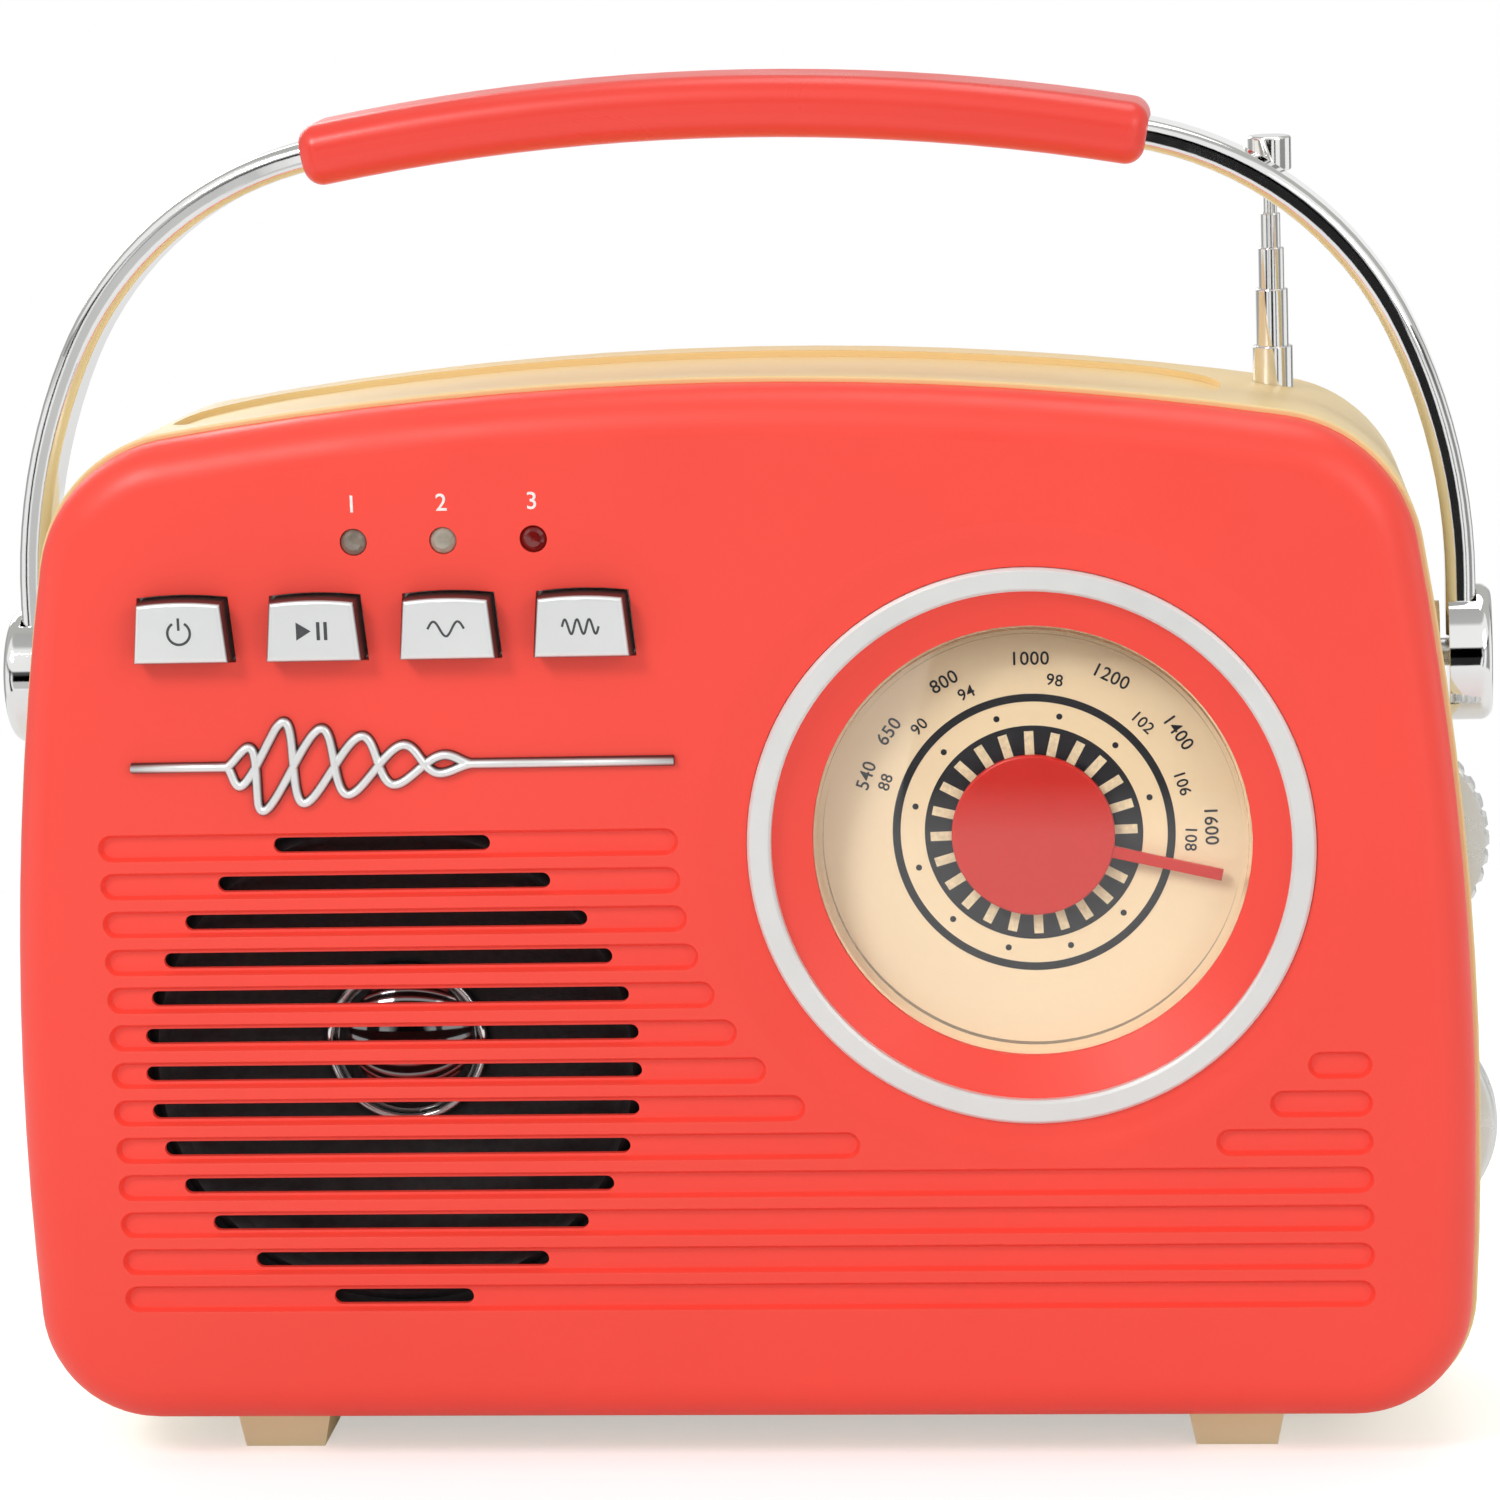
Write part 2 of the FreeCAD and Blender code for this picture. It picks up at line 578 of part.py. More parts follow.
def make_rear_shell():
    outside = rear_block(0.0, True)
    shell = outside.cut(rear_block(WALL, False))
    y_back = back(BODY_DEPTH)
    additions = []
    for x, z in case_screw_places():
        additions.append(rod_y(CASE_TUBE_RADIUS, x, z, CASE_JOIN_DEPTH, BODY_DEPTH - WALL + 0.2))
    additions.append(box(BAY_LEFT - BAY_WALL, BAY_RIGHT + BAY_WALL, back(BAY_DEPTH - BAY_WALL),
                         y_back - 1.0, BAY_BOTTOM_Z - BAY_WALL, BAY_TOP_Z + BAY_WALL))
    additions.append(box(BAY_LEFT - DOOR_OVERLAP - 3, BAY_RIGHT + DOOR_OVERLAP + 3,
                         y_back - DOOR_SHEET - 2.0, y_back - 1.0,
                         BAY_BOTTOM_Z - 3, BAY_TOP_Z + DOOR_OVERLAP + 3))
    for side in (-1, 1):
        start = side * (hub_face_x() - 1.0)
        additions.append(rod(HUB_RADIUS - 3.0, V(start, back(HUB_DEPTH), HUB_Z), X_AXIS * -side, 8.0))
    additions.append(rod(AERIAL_RADII[0] + 3.0, V(AERIAL_X, back(AERIAL_DEPTH), BAY_TOP_Z),
                         Z_AXIS, AERIAL_BOTTOM_Z + 8.0 - BAY_TOP_Z))
    additions.append(rod(AERIAL_RADII[0] + 2.5, V(AERIAL_X, back(AERIAL_DEPTH), CROWN_Z - 22.0),
                         Z_AXIS, 30.0).common(outside))
    jack_room = POWER_JACK_RADIUS + WALL
    additions.append(box(POWER_JACK_X - jack_room, AUDIO_JACK_X + jack_room,
                         back(BODY_DEPTH - JACK_LENGTH - 1.0), y_back - 1.0,
                         JACK_Z - jack_room, JACK_Z + jack_room))
    shell = shell.multiFuse(additions)
    cutters = [box(BAY_LEFT, BAY_RIGHT, back(BAY_DEPTH), y_back + 1, BAY_BOTTOM_Z, BAY_TOP_Z)]
    cutters.append(prism(door_outline(DOOR_GAP, y_back - DOOR_SHEET - SEAT_GAP),
                         V(0, DOOR_SHEET + 2, 0)))
    for side in (-1, 1):
        x0 = BAY_LEFT - DOOR_OVERLAP if side < 0 else BAY_RIGHT + DOOR_OVERLAP
        cutters.append(rod(DOOR_SHEET / 2 + RUNNING_GAP,
                           V(x0, y_back - DOOR_SHEET / 2, BAY_BOTTOM_Z + DOOR_SHEET / 2),
                           X_AXIS * side, 2.6))
        cutters.append(rod(BOLT_RADIUS + RUNNING_GAP,
                           V(side * (HALF_WIDTH + 5), back(HUB_DEPTH), HUB_Z), X_AXIS * -side, 40.0))
    cutters.append(wheel_slot(TUNING_X, TUNING_Z))
    cutters.append(wheel_slot(VOLUME_X, VOLUME_Z))
    aerial_foot = V(AERIAL_X, back(AERIAL_DEPTH), AERIAL_BOTTOM_Z)
    cutters.append(rod(AERIAL_RADII[0] + SEAT_GAP, aerial_foot, Z_AXIS, CROWN_Z))
    for x, z in case_screw_places():
        cutters.append(rod_y(SCREW_HEAD_RADIUS + 0.6, x, z, CASE_JOIN_DEPTH + 4.0, BODY_DEPTH + 1))
        cutters.append(rod_y(PILOT_RADIUS + 0.2, x, z, CASE_JOIN_DEPTH - 1, CASE_JOIN_DEPTH + 5.0))
    for x, radius in ((AUDIO_JACK_X, AUDIO_JACK_RADIUS), (POWER_JACK_X, POWER_JACK_RADIUS)):
        cutters.append(rod_y(radius + SEAT_GAP, x, JACK_Z, BODY_DEPTH - JACK_LENGTH, BODY_DEPTH + 1))
    cutters.append(top_recess())
    return shell.cut(Part.makeCompound(cutters)).removeSplitter()


def top_recess():
    """The long shallow recess in the top, of even depth under the curved surface."""
    plan = box(RECESS_LEFT, RECESS_RIGHT, back(RECESS_DEPTHS[0]), back(RECESS_DEPTHS[1]),
               CROWN_Z - 30, CROWN_Z + 5)
    plan = plan.makeFillet(RECESS_CORNER, [e for e in plan.Edges if e.BoundBox.ZLength > 20])
    start = back(FRONT_SHELL_DEPTH)
    end = back(BODY_DEPTH)
    core = Part.makeLoft([case_outline(RECESS_SINK - RIM_PROUD, start),
                          case_outline(RECESS_SINK + BACK_INSET, end)], True, True)
    return plan.cut(core)


def make_feet():
    feet = []
    outside = rear_block(0.0, True)
    for side in (-1, 1):
        for front in FOOT_FRONT_DEPTHS:
            x = side * FOOT_X
            wire = polygon_xz([(x - FOOT_BOTTOM_WIDTH / 2, 0), (x + FOOT_BOTTOM_WIDTH / 2, 0),
                               (x + FOOT_TOP_WIDTH / 2, FOOT_HEIGHT), (x + FOOT_TOP_WIDTH / 2, 13.0),
                               (x - FOOT_TOP_WIDTH / 2, 13.0), (x - FOOT_TOP_WIDTH / 2, FOOT_HEIGHT)],
                              back(front))
            feet.append(prism(wire, V(0, FOOT_LENGTH, 0)).cut(outside))
    return group(feet)


# ---------------------------------------------------------------- small outside pieces

def make_dial_ring():
    return turned_y(DIAL_X, DIAL_Z, [
        (RING_INNER_RADIUS, RING_SETBACK + 0.5), (RING_INNER_RADIUS + 0.5, RING_SETBACK),
        (RING_OUTER_RADIUS - 0.5, RING_SETBACK), (RING_OUTER_RADIUS, RING_SETBACK + 0.5),
        (RING_OUTER_RADIUS, RING_SETBACK + RING_SHEET),
        (RING_INNER_RADIUS, RING_SETBACK + RING_SHEET)])


def make_button(index):
    x = BUTTON_FIRST_X + index * BUTTON_PITCH
    cap = prism(key_outline(0.0, back(-BUTTON_PROUD), index),
                V(0, BUTTON_PROUD + WALL + FIT_GAP, 0))
    cap = cap.makeFillet(0.9, edges_at_y(cap, back(-BUTTON_PROUD)))
    flange = prism(key_outline(BUTTON_GAP + BUTTON_FLANGE, back(WALL + FIT_GAP), index), V(0, 1.4, 0))
    stem = rod_y(1.3, x, BUTTON_Z, WALL + FIT_GAP, 11.0)
    return fuse([cap, flange, stem])


def make_trim():
    y = back(-TRIM_PROUD)
    deep = V(0, TRIM_PROUD, 0)
    pieces = [prism(stadium(TRIM_LEFT, TRIM_RIGHT, TRIM_Z, TRIM_HEIGHT, y), deep)]
    for k in range(SCROLL_COUNT):
        x = SCROLL_LEFT + SCROLL_RADIUS + k * (2 * SCROLL_RADIUS - TRIM_HEIGHT)
        turn = 1 if k % 2 == 0 else -0.35
        z = TRIM_Z + turn * SCROLL_RADIUS
        ring = Part.makeCylinder(SCROLL_RADIUS, TRIM_PROUD, V(x, y, z), Y_AXIS)
        pieces.append(ring.cut(Part.makeCylinder(SCROLL_RADIUS - TRIM_HEIGHT, TRIM_PROUD, V(x, y, z),
                                                 Y_AXIS)))
    return fuse(pieces)


def make_lamp(x):
    dome = turned_y(x, LAMP_Z, [(0, -LAMP_PROUD), (LAMP_RADIUS * 0.6, -LAMP_PROUD * 0.6),
                                (LAMP_RADIUS, LAMP_PROUD), (LAMP_RADIUS, WALL + 2.0),
                                (LAMP_RADIUS + 0.4, WALL + 2.0), (LAMP_RADIUS + 0.4, WALL + 3.0),
                                (0, WALL + 3.0)])
    legs = [box(x + s * 1.27 - 0.25, x + s * 1.27 + 0.25, back(WALL + 2.5), back(CONTROL_BOARD_DEPTH + 2.2),
                LAMP_Z - 0.25, LAMP_Z + 0.25) for s in (-1, 1)]
    return fuse([dome] + legs)


# ---------------------------------------------------------------- dial pieces

def make_dial_lens():
    top = WINDOW_DEPTH + 0.2
    flange = WINDOW_DEPTH + BOWL_WALL + SEAT_GAP
    r = WINDOW_RADIUS - SEAT_GAP
    return turned_y(DIAL_X, DIAL_Z, [
        (0, top), (r - 0.6, top), (r, top + 0.6), (r, flange), (r + LENS_FLANGE, flange),
        (r + LENS_FLANGE, flange + LENS_SHEET), (r - LENS_SHEET, flange + LENS_SHEET),
        (r - LENS_SHEET, top + LENS_SHEET), (0, top + LENS_SHEET)])


def make_dial_plate():
    lens_back = WINDOW_DEPTH + BOWL_WALL + SEAT_GAP + LENS_SHEET
    plate = turned_y(DIAL_X, DIAL_Z, [
        (DIAL_SHAFT_RADIUS + 0.5, PLATE_DEPTH), (WINDOW_RADIUS + LENS_FLANGE - 0.2, PLATE_DEPTH),
        (WINDOW_RADIUS + LENS_FLANGE - 0.2, lens_back + SEAT_GAP),
        (WINDOW_RADIUS + LENS_FLANGE + 0.6, lens_back + SEAT_GAP),
        (WINDOW_RADIUS + LENS_FLANGE + 0.6, PLATE_DEPTH + PLATE_SHEET),
        (DIAL_SHAFT_RADIUS + 0.5, PLATE_DEPTH + PLATE_SHEET)])
    return plate


def make_dial_carrier():
    """The bracket behind the plate: three screwed lugs and the pointer's bearing."""
    front = PLATE_DEPTH + PLATE_SHEET
    rear = front + DIAL_CUP_WALL
    disc = rod_y(WINDOW_RADIUS + LENS_FLANGE + 0.6, DIAL_X, DIAL_Z, front, rear)
    lugs = [rod_y(BOSS_RADIUS, x, z, PLATE_DEPTH, rear) for x, z in dial_screw_places()]
    rim = tube_y(WINDOW_RADIUS + LENS_FLANGE + 2.4, WINDOW_RADIUS + LENS_FLANGE + 0.7,
                 DIAL_X, DIAL_Z, PLATE_DEPTH, rear)
    bridge = tube_y(WINDOW_RADIUS + LENS_FLANGE + 1.5, WINDOW_RADIUS - 4.0, DIAL_X, DIAL_Z, front, rear)
    body = disc.multiFuse(lugs + [rim, bridge])
    holes = [rod_y(PILOT_RADIUS + 0.1, x, z, 0, 40) for x, z in dial_screw_places()]
    holes.append(rod_y(DIAL_SHAFT_RADIUS + RUNNING_GAP, DIAL_X, DIAL_Z, 0, 40))
    return body.cut(Part.makeCompound(holes)).removeSplitter()


def make_pointer():
    disc = rod_y(POINTER_DISC_RADIUS, DIAL_X, DIAL_Z, POINTER_DEPTH, POINTER_DEPTH + POINTER_SHEET)
    disc = disc.makeFillet(0.4, edges_at_y(disc, back(POINTER_DEPTH)))
    half = POINTER_WIDTH / 2
    needle = prism(polygon_xz([(DIAL_X, DIAL_Z - half), (DIAL_X + POINTER_REACH, DIAL_Z - half),
                               (DIAL_X + POINTER_REACH, DIAL_Z + half), (DIAL_X, DIAL_Z + half)],
                              back(POINTER_DEPTH + 0.3)), V(0, POINTER_SHEET - 0.4, 0))
    needle.rotate(V(DIAL_X, 0, DIAL_Z), Y_AXIS, -POINTER_DEGREES)
    hub = rod_y(4.0, DIAL_X, DIAL_Z, POINTER_DEPTH + 0.5, PLATE_DEPTH - FIT_GAP)
    bore = rod_y(DIAL_SHAFT_RADIUS, DIAL_X, DIAL_Z, POINTER_DEPTH + 0.6, PLATE_DEPTH)
    return fuse([disc, needle, hub]).cut(bore)


def make_pointer_shaft():
    return rod_y(DIAL_SHAFT_RADIUS, DIAL_X, DIAL_Z, POINTER_DEPTH + 0.6,
                 PULLEY_DEPTH + PULLEY_THICKNESS + 1.5)


def pulley_profile(radius, bore):
    """A grooved wheel's half section as (radius, depth)."""
    d0 = PULLEY_DEPTH
    d1 = PULLEY_DEPTH + PULLEY_THICKNESS
    mid = (d0 + d1) / 2
    floor = radius - CORD_RADIUS - FIT_GAP
    rim = radius + 1.2
    return [(bore, d0), (rim, d0), (rim, d0 + 0.6), (floor, mid - 0.8), (floor, mid + 0.8),
            (rim, d1 - 0.6), (rim, d1), (bore, d1)]


def make_pointer_pulley():
    return turned_y(DIAL_X, DIAL_Z, pulley_profile(POINTER_PULLEY_RADIUS, DIAL_SHAFT_RADIUS + RUNNING_GAP))


def make_drive_cord():
    """A closed cord round both pulleys: two straight runs joined by two arcs."""
    y = back(PULLEY_DEPTH + PULLEY_THICKNESS / 2)
    a = V(DIAL_X, y, DIAL_Z)
    b = V(TUNING_X, y, TUNING_Z)
    across = b.sub(a)
    lean = math.asin((POINTER_PULLEY_RADIUS - WHEEL_PULLEY_RADIUS) / across.Length)
    along = V(across).normalize()
    side = V(-along.z, 0, along.x)
    up = side * math.cos(lean) + along * math.sin(lean)
    down = side * -math.cos(lean) + along * math.sin(lean)
    big, small = POINTER_PULLEY_RADIUS, WHEEL_PULLEY_RADIUS
    edges = [Part.makeLine(a + up * big, b + up * small),
             Part.Arc(b + up * small, b + along * small, b + down * small).toShape(),
             Part.makeLine(b + down * small, a + down * big),
             Part.Arc(a + down * big, a - along * big, a + up * big).toShape()]
    path = Part.Wire(edges)
    start = a + up * big
    section = Part.Wire([Part.makeCircle(CORD_RADIUS, start, edges[0].tangentAt(edges[0].FirstParameter))])
    return path.makePipeShell([section], True, False)


def wheel_disc(x, z, bevel):
    """A thumb wheel's blank, bevelled on both sides."""
    d0, d1 = WHEEL_DEPTH, WHEEL_DEPTH + WHEEL_THICKNESS
    return turned_y(x, z, [(0, d0), (WHEEL_RADIUS - bevel, d0), (WHEEL_RADIUS, d0 + bevel),
                           (WHEEL_RADIUS, d1 - bevel), (WHEEL_RADIUS - bevel, d1), (0, d1)])


def make_tuning_wheel():
    disc = wheel_disc(TUNING_X, TUNING_Z, 0.6)
    cuts = []
    for k in range(TUNING_TEETH):
        a = 2 * math.pi * (k + 0.5) / TUNING_TEETH
        cuts.append(rod_y(1.1, TUNING_X + (WHEEL_RADIUS + 0.3) * math.cos(a),
                          TUNING_Z + (WHEEL_RADIUS + 0.3) * math.sin(a),
                          WHEEL_DEPTH - 1, WHEEL_DEPTH + WHEEL_THICKNESS + 1))
    disc = disc.cut(Part.makeCompound(cuts))
    pulley = turned_y(TUNING_X, TUNING_Z, pulley_profile(WHEEL_PULLEY_RADIUS, WHEEL_SHAFT_RADIUS))
    neck = rod_y(WHEEL_PULLEY_RADIUS - 1.5, TUNING_X, TUNING_Z,
                 PULLEY_DEPTH + PULLEY_THICKNESS - 0.2, WHEEL_DEPTH + 0.2)
    bore = rod_y(WHEEL_SHAFT_RADIUS + RUNNING_GAP, TUNING_X, TUNING_Z, 0, 60)
    return disc.multiFuse([pulley, neck]).cut(bore).removeSplitter()


def make_wheel_shaft(x, z, front):
    return rod_y(WHEEL_SHAFT_RADIUS, x, z, front, MAIN_BOARD_DEPTH - 0.5)


def make_tuning_capacitor():
    rear = MAIN_BOARD_DEPTH
    front = WHEEL_DEPTH + WHEEL_THICKNESS + 1.5
    block = box(TUNING_X - 10, TUNING_X + 10, back(front), back(rear), TUNING_Z - 10, TUNING_Z + 10)
    bore = rod_y(WHEEL_SHAFT_RADIUS + RUNNING_GAP, TUNING_X, TUNING_Z, 0, rear - 0.4)
    return block.cut(bore)


def make_volume_wheel():
    disc = rod_y(WHEEL_RADIUS, VOLUME_X, VOLUME_Z, WHEEL_DEPTH, WHEEL_DEPTH + WHEEL_THICKNESS)
    disc = disc.makeFillet(1.4, edges_at_y(disc, back(WHEEL_DEPTH))
                           + edges_at_y(disc, back(WHEEL_DEPTH + WHEEL_THICKNESS)))
    return disc.cut(rod_y(WHEEL_SHAFT_RADIUS + RUNNING_GAP, VOLUME_X, VOLUME_Z, 0, 60))


def make_volume_control():
    rear = MAIN_BOARD_DEPTH
    front = WHEEL_DEPTH + WHEEL_THICKNESS + 1.5
    can = rod_y(8.5, VOLUME_X, VOLUME_Z, front, rear)
    return can.cut(rod_y(WHEEL_SHAFT_RADIUS + RUNNING_GAP, VOLUME_X, VOLUME_Z, 0, rear - 0.4))


# ---------------------------------------------------------------- boards

def make_control_board():
    places = control_board_places()
    x0 = min(x for x, z in places) - 4.0
    x1 = max(x for x, z in places) + 4.0
    low = min(z for x, z in places) - 4.0
    board = box(x0, x1, back(CONTROL_BOARD_DEPTH), back(CONTROL_BOARD_DEPTH + BOARD_SHEET),
                low, LAMP_Z + 4.5)
    holes = [rod_y(PILOT_RADIUS + 0.1, x, z, 0, 40) for x, z in places]
    holes += [box(x - 2, x + 2, back(0), back(40), LAMP_Z - 0.5, LAMP_Z + 0.5) for x in LAMP_X]
    return board.cut(Part.makeCompound(holes))


def make_switches():
    bodies = []
    for k in range(BUTTON_COUNT):
        x = BUTTON_FIRST_X + k * BUTTON_PITCH
        body = box(x - 3.5, x + 3.5, back(9.8), back(CONTROL_BOARD_DEPTH), BUTTON_Z - 3.5, BUTTON_Z + 3.5)
        bodies.append(body.cut(rod_y(1.6, x, BUTTON_Z, 9, 11.0 + BUTTON_TRAVEL + 0.5)))
    return group(bodies)


def make_main_board():
    front, rear = back(MAIN_BOARD_DEPTH), back(MAIN_BOARD_DEPTH + BOARD_SHEET)
    board = box(BOARD_LEFT, BOARD_RIGHT, front, rear, BOARD_BOTTOM_Z, BOARD_TOP_Z)
    tab = box(BOARD_RIGHT - 8.0, TUNING_X + BOARD_TAB_REACH, front, rear,
              VOLUME_Z - 15.0, TUNING_Z + 15.0)
    board = board.fuse(tab).removeSplitter()
    holes = [rod_y(PILOT_RADIUS + 0.1, x, z, 0, 60) for x, z in main_board_places()]
    return board.cut(Part.makeCompound(holes))


def make_board_parts():
    """Chips, transformers and cans on the main board's front."""
    front = MAIN_BOARD_DEPTH
    parts = [box(20, 38, back(front - 4), back(front), 40, 47),
             box(50, 62, back(front - 3), back(front), 58, 64),
             box(10, 22, back(front - 11), back(front), 66, 78),
             box(66, 84, back(front - 3.5), back(front), 46, 53)]
    for x, z, r, h in ((44, 40, 4, 12), (30, 62, 5, 14), (78, 64, 3, 8), (10, 50, 4, 11)):
        parts.append(rod_y(r, x, z, front - h, front))
    for x in (14, 26, 38):
        parts.append(box(x, x + 7.5, back(front - 10), back(front), 84, 91.5))
    return group(parts)


def rod_start():
    """The left end of the ferrite rod, over the board's top edge."""
    return V(ROD_START_X, back(MAIN_BOARD_DEPTH + BOARD_SHEET / 2), BOARD_TOP_Z + ROD_LIFT)


def make_ferrite_rod():
    return rod(ROD_RADIUS, rod_start(), X_AXIS, ROD_LENGTH)


def make_ferrite_coil():
    start = rod_start() + V(ROD_LENGTH * 0.55, 0, 0)
    sleeve = rod(ROD_RADIUS + 1.4, start, X_AXIS, 26.0)
    return sleeve.cut(rod(ROD_RADIUS + SEAT_GAP, start - V(1, 0, 0), X_AXIS, 28.0))


def make_rod_clips():
    start = rod_start()
    clips = []
    for x in (start.x + 8.0, start.x + ROD_LENGTH - 10.0):
        body = box(x - 3, x + 3, start.y - 7, start.y + 7, BOARD_TOP_Z - 8, start.z)
        slot = box(x - 4, x + 4, back(MAIN_BOARD_DEPTH) - SEAT_GAP,
                   back(MAIN_BOARD_DEPTH + BOARD_SHEET) + SEAT_GAP,
                   BOARD_TOP_Z - 16, BOARD_TOP_Z + SEAT_GAP)
        bore = rod(ROD_RADIUS + SEAT_GAP, V(x - 4, start.y, start.z), X_AXIS, 8)
        clips.append(body.cut(slot).cut(bore))
    return group(clips)


# ---------------------------------------------------------------- speaker

def make_speaker_gasket():
    return tube_y(SPEAKER_RADIUS, GRILLE_RADIUS + 1.5, SPEAKER_X, SPEAKER_Z, WALL, WALL + SPEAKER_GASKET)


def speaker_sheet_front():
    return WALL + SPEAKER_GASKET + SURROUND_SHEET


def make_speaker_basket():
    d = speaker_sheet_front()
    t = SPEAKER_SHEET
    inner = GRILLE_RADIUS + 0.5
    floor = MAGNET_DEPTHS[0] - YOKE_SHEET
    frame = turned_y(SPEAKER_X, SPEAKER_Z, [
        (SPEAKER_RADIUS, d), (SPEAKER_RADIUS, d + t), (inner + t, d + t), (MAGNET_RADIUS - 3, floor),
        (COIL_RADIUS + 1.4, floor), (COIL_RADIUS + 1.4, floor - t), (MAGNET_RADIUS - 3 - t, floor - t),
        (inner, d)])
    lugs = [rod_y(BOSS_RADIUS, x, z, d, d + t) for x, z in speaker_screw_places()]
    frame = frame.multiFuse(lugs)
    holes = [rod_y(PILOT_RADIUS + 0.1, x, z, 0, 60) for x, z in speaker_screw_places()]
    windows = []
    for k in range(4):
        window = box(SPEAKER_X - 11, SPEAKER_X + 11, back(d + 5), back(floor - 5),
                     SPEAKER_Z + 20, SPEAKER_Z + 60)
        window.rotate(V(SPEAKER_X, 0, SPEAKER_Z), Y_AXIS, 90 * k)
        windows.append(window)
    return frame.cut(Part.makeCompound(holes + windows)).removeSplitter()


def make_speaker_cone():
    d = WALL + SPEAKER_GASKET
    t = SURROUND_SHEET
    edge = GRILLE_RADIUS + 0.5
    return turned_y(SPEAKER_X, SPEAKER_Z, [
        (SPEAKER_RADIUS - 1.0, d), (SPEAKER_RADIUS - 1.0, d + t), (edge - 1, d + t), (edge - 2.4, d - 0.9),
        (edge - 3.8, d + 1.0), (DUST_CAP_RADIUS - 1.0, CONE_THROAT_DEPTH + CONE_SHEET),
        (COIL_RADIUS, CONE_THROAT_DEPTH + CONE_SHEET), (COIL_RADIUS, CONE_THROAT_DEPTH),
        (DUST_CAP_RADIUS - 1.2, CONE_THROAT_DEPTH), (edge - 4.2, d + 0.2), (edge - 2.4, d - 1.5),
        (edge - 0.6, d)])


def make_dust_cap():
    rise = CONE_THROAT_DEPTH - 0.4 - DUST_CAP_DEPTH
    r = DUST_CAP_RADIUS
    ball = (r ** 2 + rise ** 2) / (2 * rise)
    centre = V(SPEAKER_X, back(DUST_CAP_DEPTH + ball), SPEAKER_Z)
    outer = Part.makeSphere(ball, centre)
    inner = Part.makeSphere(ball - 0.5, centre)
    keep = rod_y(r, SPEAKER_X, SPEAKER_Z, DUST_CAP_DEPTH - 2, CONE_THROAT_DEPTH - 0.9)
    return outer.cut(inner).common(keep)


def make_voice_coil():
    return tube_y(COIL_RADIUS - 0.1, COIL_RADIUS - 0.6, SPEAKER_X, SPEAKER_Z,
                  CONE_THROAT_DEPTH, MAGNET_DEPTHS[0] + 3)


def make_speaker_magnet():
    d0, d1 = MAGNET_DEPTHS
    top = tube_y(MAGNET_RADIUS - 3, COIL_RADIUS + 0.5, SPEAKER_X, SPEAKER_Z, d0 - YOKE_SHEET, d0)
    ring = tube_y(MAGNET_RADIUS, COIL_RADIUS + 3, SPEAKER_X, SPEAKER_Z, d0, d1)
    yoke = rod_y(MAGNET_RADIUS - 3, SPEAKER_X, SPEAKER_Z, d1, d1 + YOKE_SHEET)
    pole = rod_y(COIL_RADIUS - 1.2, SPEAKER_X, SPEAKER_Z, d0 - YOKE_SHEET, d1 + 0.5)
    return fuse([top, ring, yoke, pole])


# ---------------------------------------------------------------- handle

def strap_runs():
    """Half of the strap's centre line, from the middle of the grip down to the hub.

    Three arcs and a straight run, each meeting the next without a corner. The radii of the
    shoulder and flank arcs follow from how far apart and how far down the hubs are.
    """
    a1 = math.radians(STRAP_CROWN_DEGREES)
    a2 = math.radians(STRAP_FLANK_DEGREES)
    across = HUB_OUTER_X - STRAP_INSET - STRAP_THICKNESS / 2 - STRAP_CROWN_RADIUS * math.sin(a1)
    down = STRAP_TOP_Z - HUB_Z - STRAP_STRAIGHT - STRAP_CROWN_RADIUS * (1 - math.cos(a1))
    shoulder_across = math.sin(a2) - math.sin(a1)
    shoulder_down = math.cos(a1) - math.cos(a2)
    flank_across = 1 - math.sin(a2)
    flank_down = math.cos(a2)
    scale = shoulder_across * flank_down - flank_across * shoulder_down
    shoulder = (across * flank_down - down * flank_across) / scale
    flank = (down * shoulder_across - across * shoulder_down) / scale
    runs = []
    angle = 0.0
    point = V(0, back(HUB_DEPTH), STRAP_TOP_Z)
    for radius, end in ((STRAP_CROWN_RADIUS, a1), (shoulder, a2), (flank, math.pi / 2)):
        centre = point - V(math.sin(angle), 0, math.cos(angle)) * radius
        middle = centre + V(math.sin((angle + end) / 2), 0, math.cos((angle + end) / 2)) * radius
        last = centre + V(math.sin(end), 0, math.cos(end)) * radius
        runs.append((point, middle, last))
        point, angle = last, end
    return runs, point


def strap_wire(foot_z):
    """The whole centre line from one hub to the other."""
    runs, foot = strap_runs()
    edges = [Part.makeLine(V(-foot.x, foot.y, foot_z), mirrored_x(foot))]
    for first, middle, last in reversed(runs):
        edges.append(Part.Arc(mirrored_x(last), mirrored_x(middle), mirrored_x(first)).toShape())
    for first, middle, last in runs:
        edges.append(Part.Arc(first, middle, last).toShape())
    edges.append(Part.makeLine(foot, V(foot.x, foot.y, foot_z)))
    return Part.Wire(edges), V(-foot.x, foot.y, foot_z)


def rounded_section(centre, thickness, width, radius):
    """A rounded rectangle in a level plane: thickness along X and width along Y."""
    plate = box(centre.x - thickness / 2, centre.x + thickness / 2,
                centre.y - width / 2, centre.y + width / 2, centre.z - 1, centre.z)
    plate = plate.makeFillet(radius, [e for e in plate.Edges if e.BoundBox.ZLength > 0.5])
    top = [f for f in plate.Faces if f.BoundBox.ZLength < 1e-6 and abs(f.BoundBox.ZMin - centre.z) < 1e-6]
    return top[0].OuterWire


def make_strap():
    path, foot = strap_wire(HUB_Z + STRAP_FOOT_LIFT)
    section = rounded_section(foot, STRAP_THICKNESS, STRAP_WIDTH, STRAP_CORNER)
    return path.makePipeShell([section], True, False)


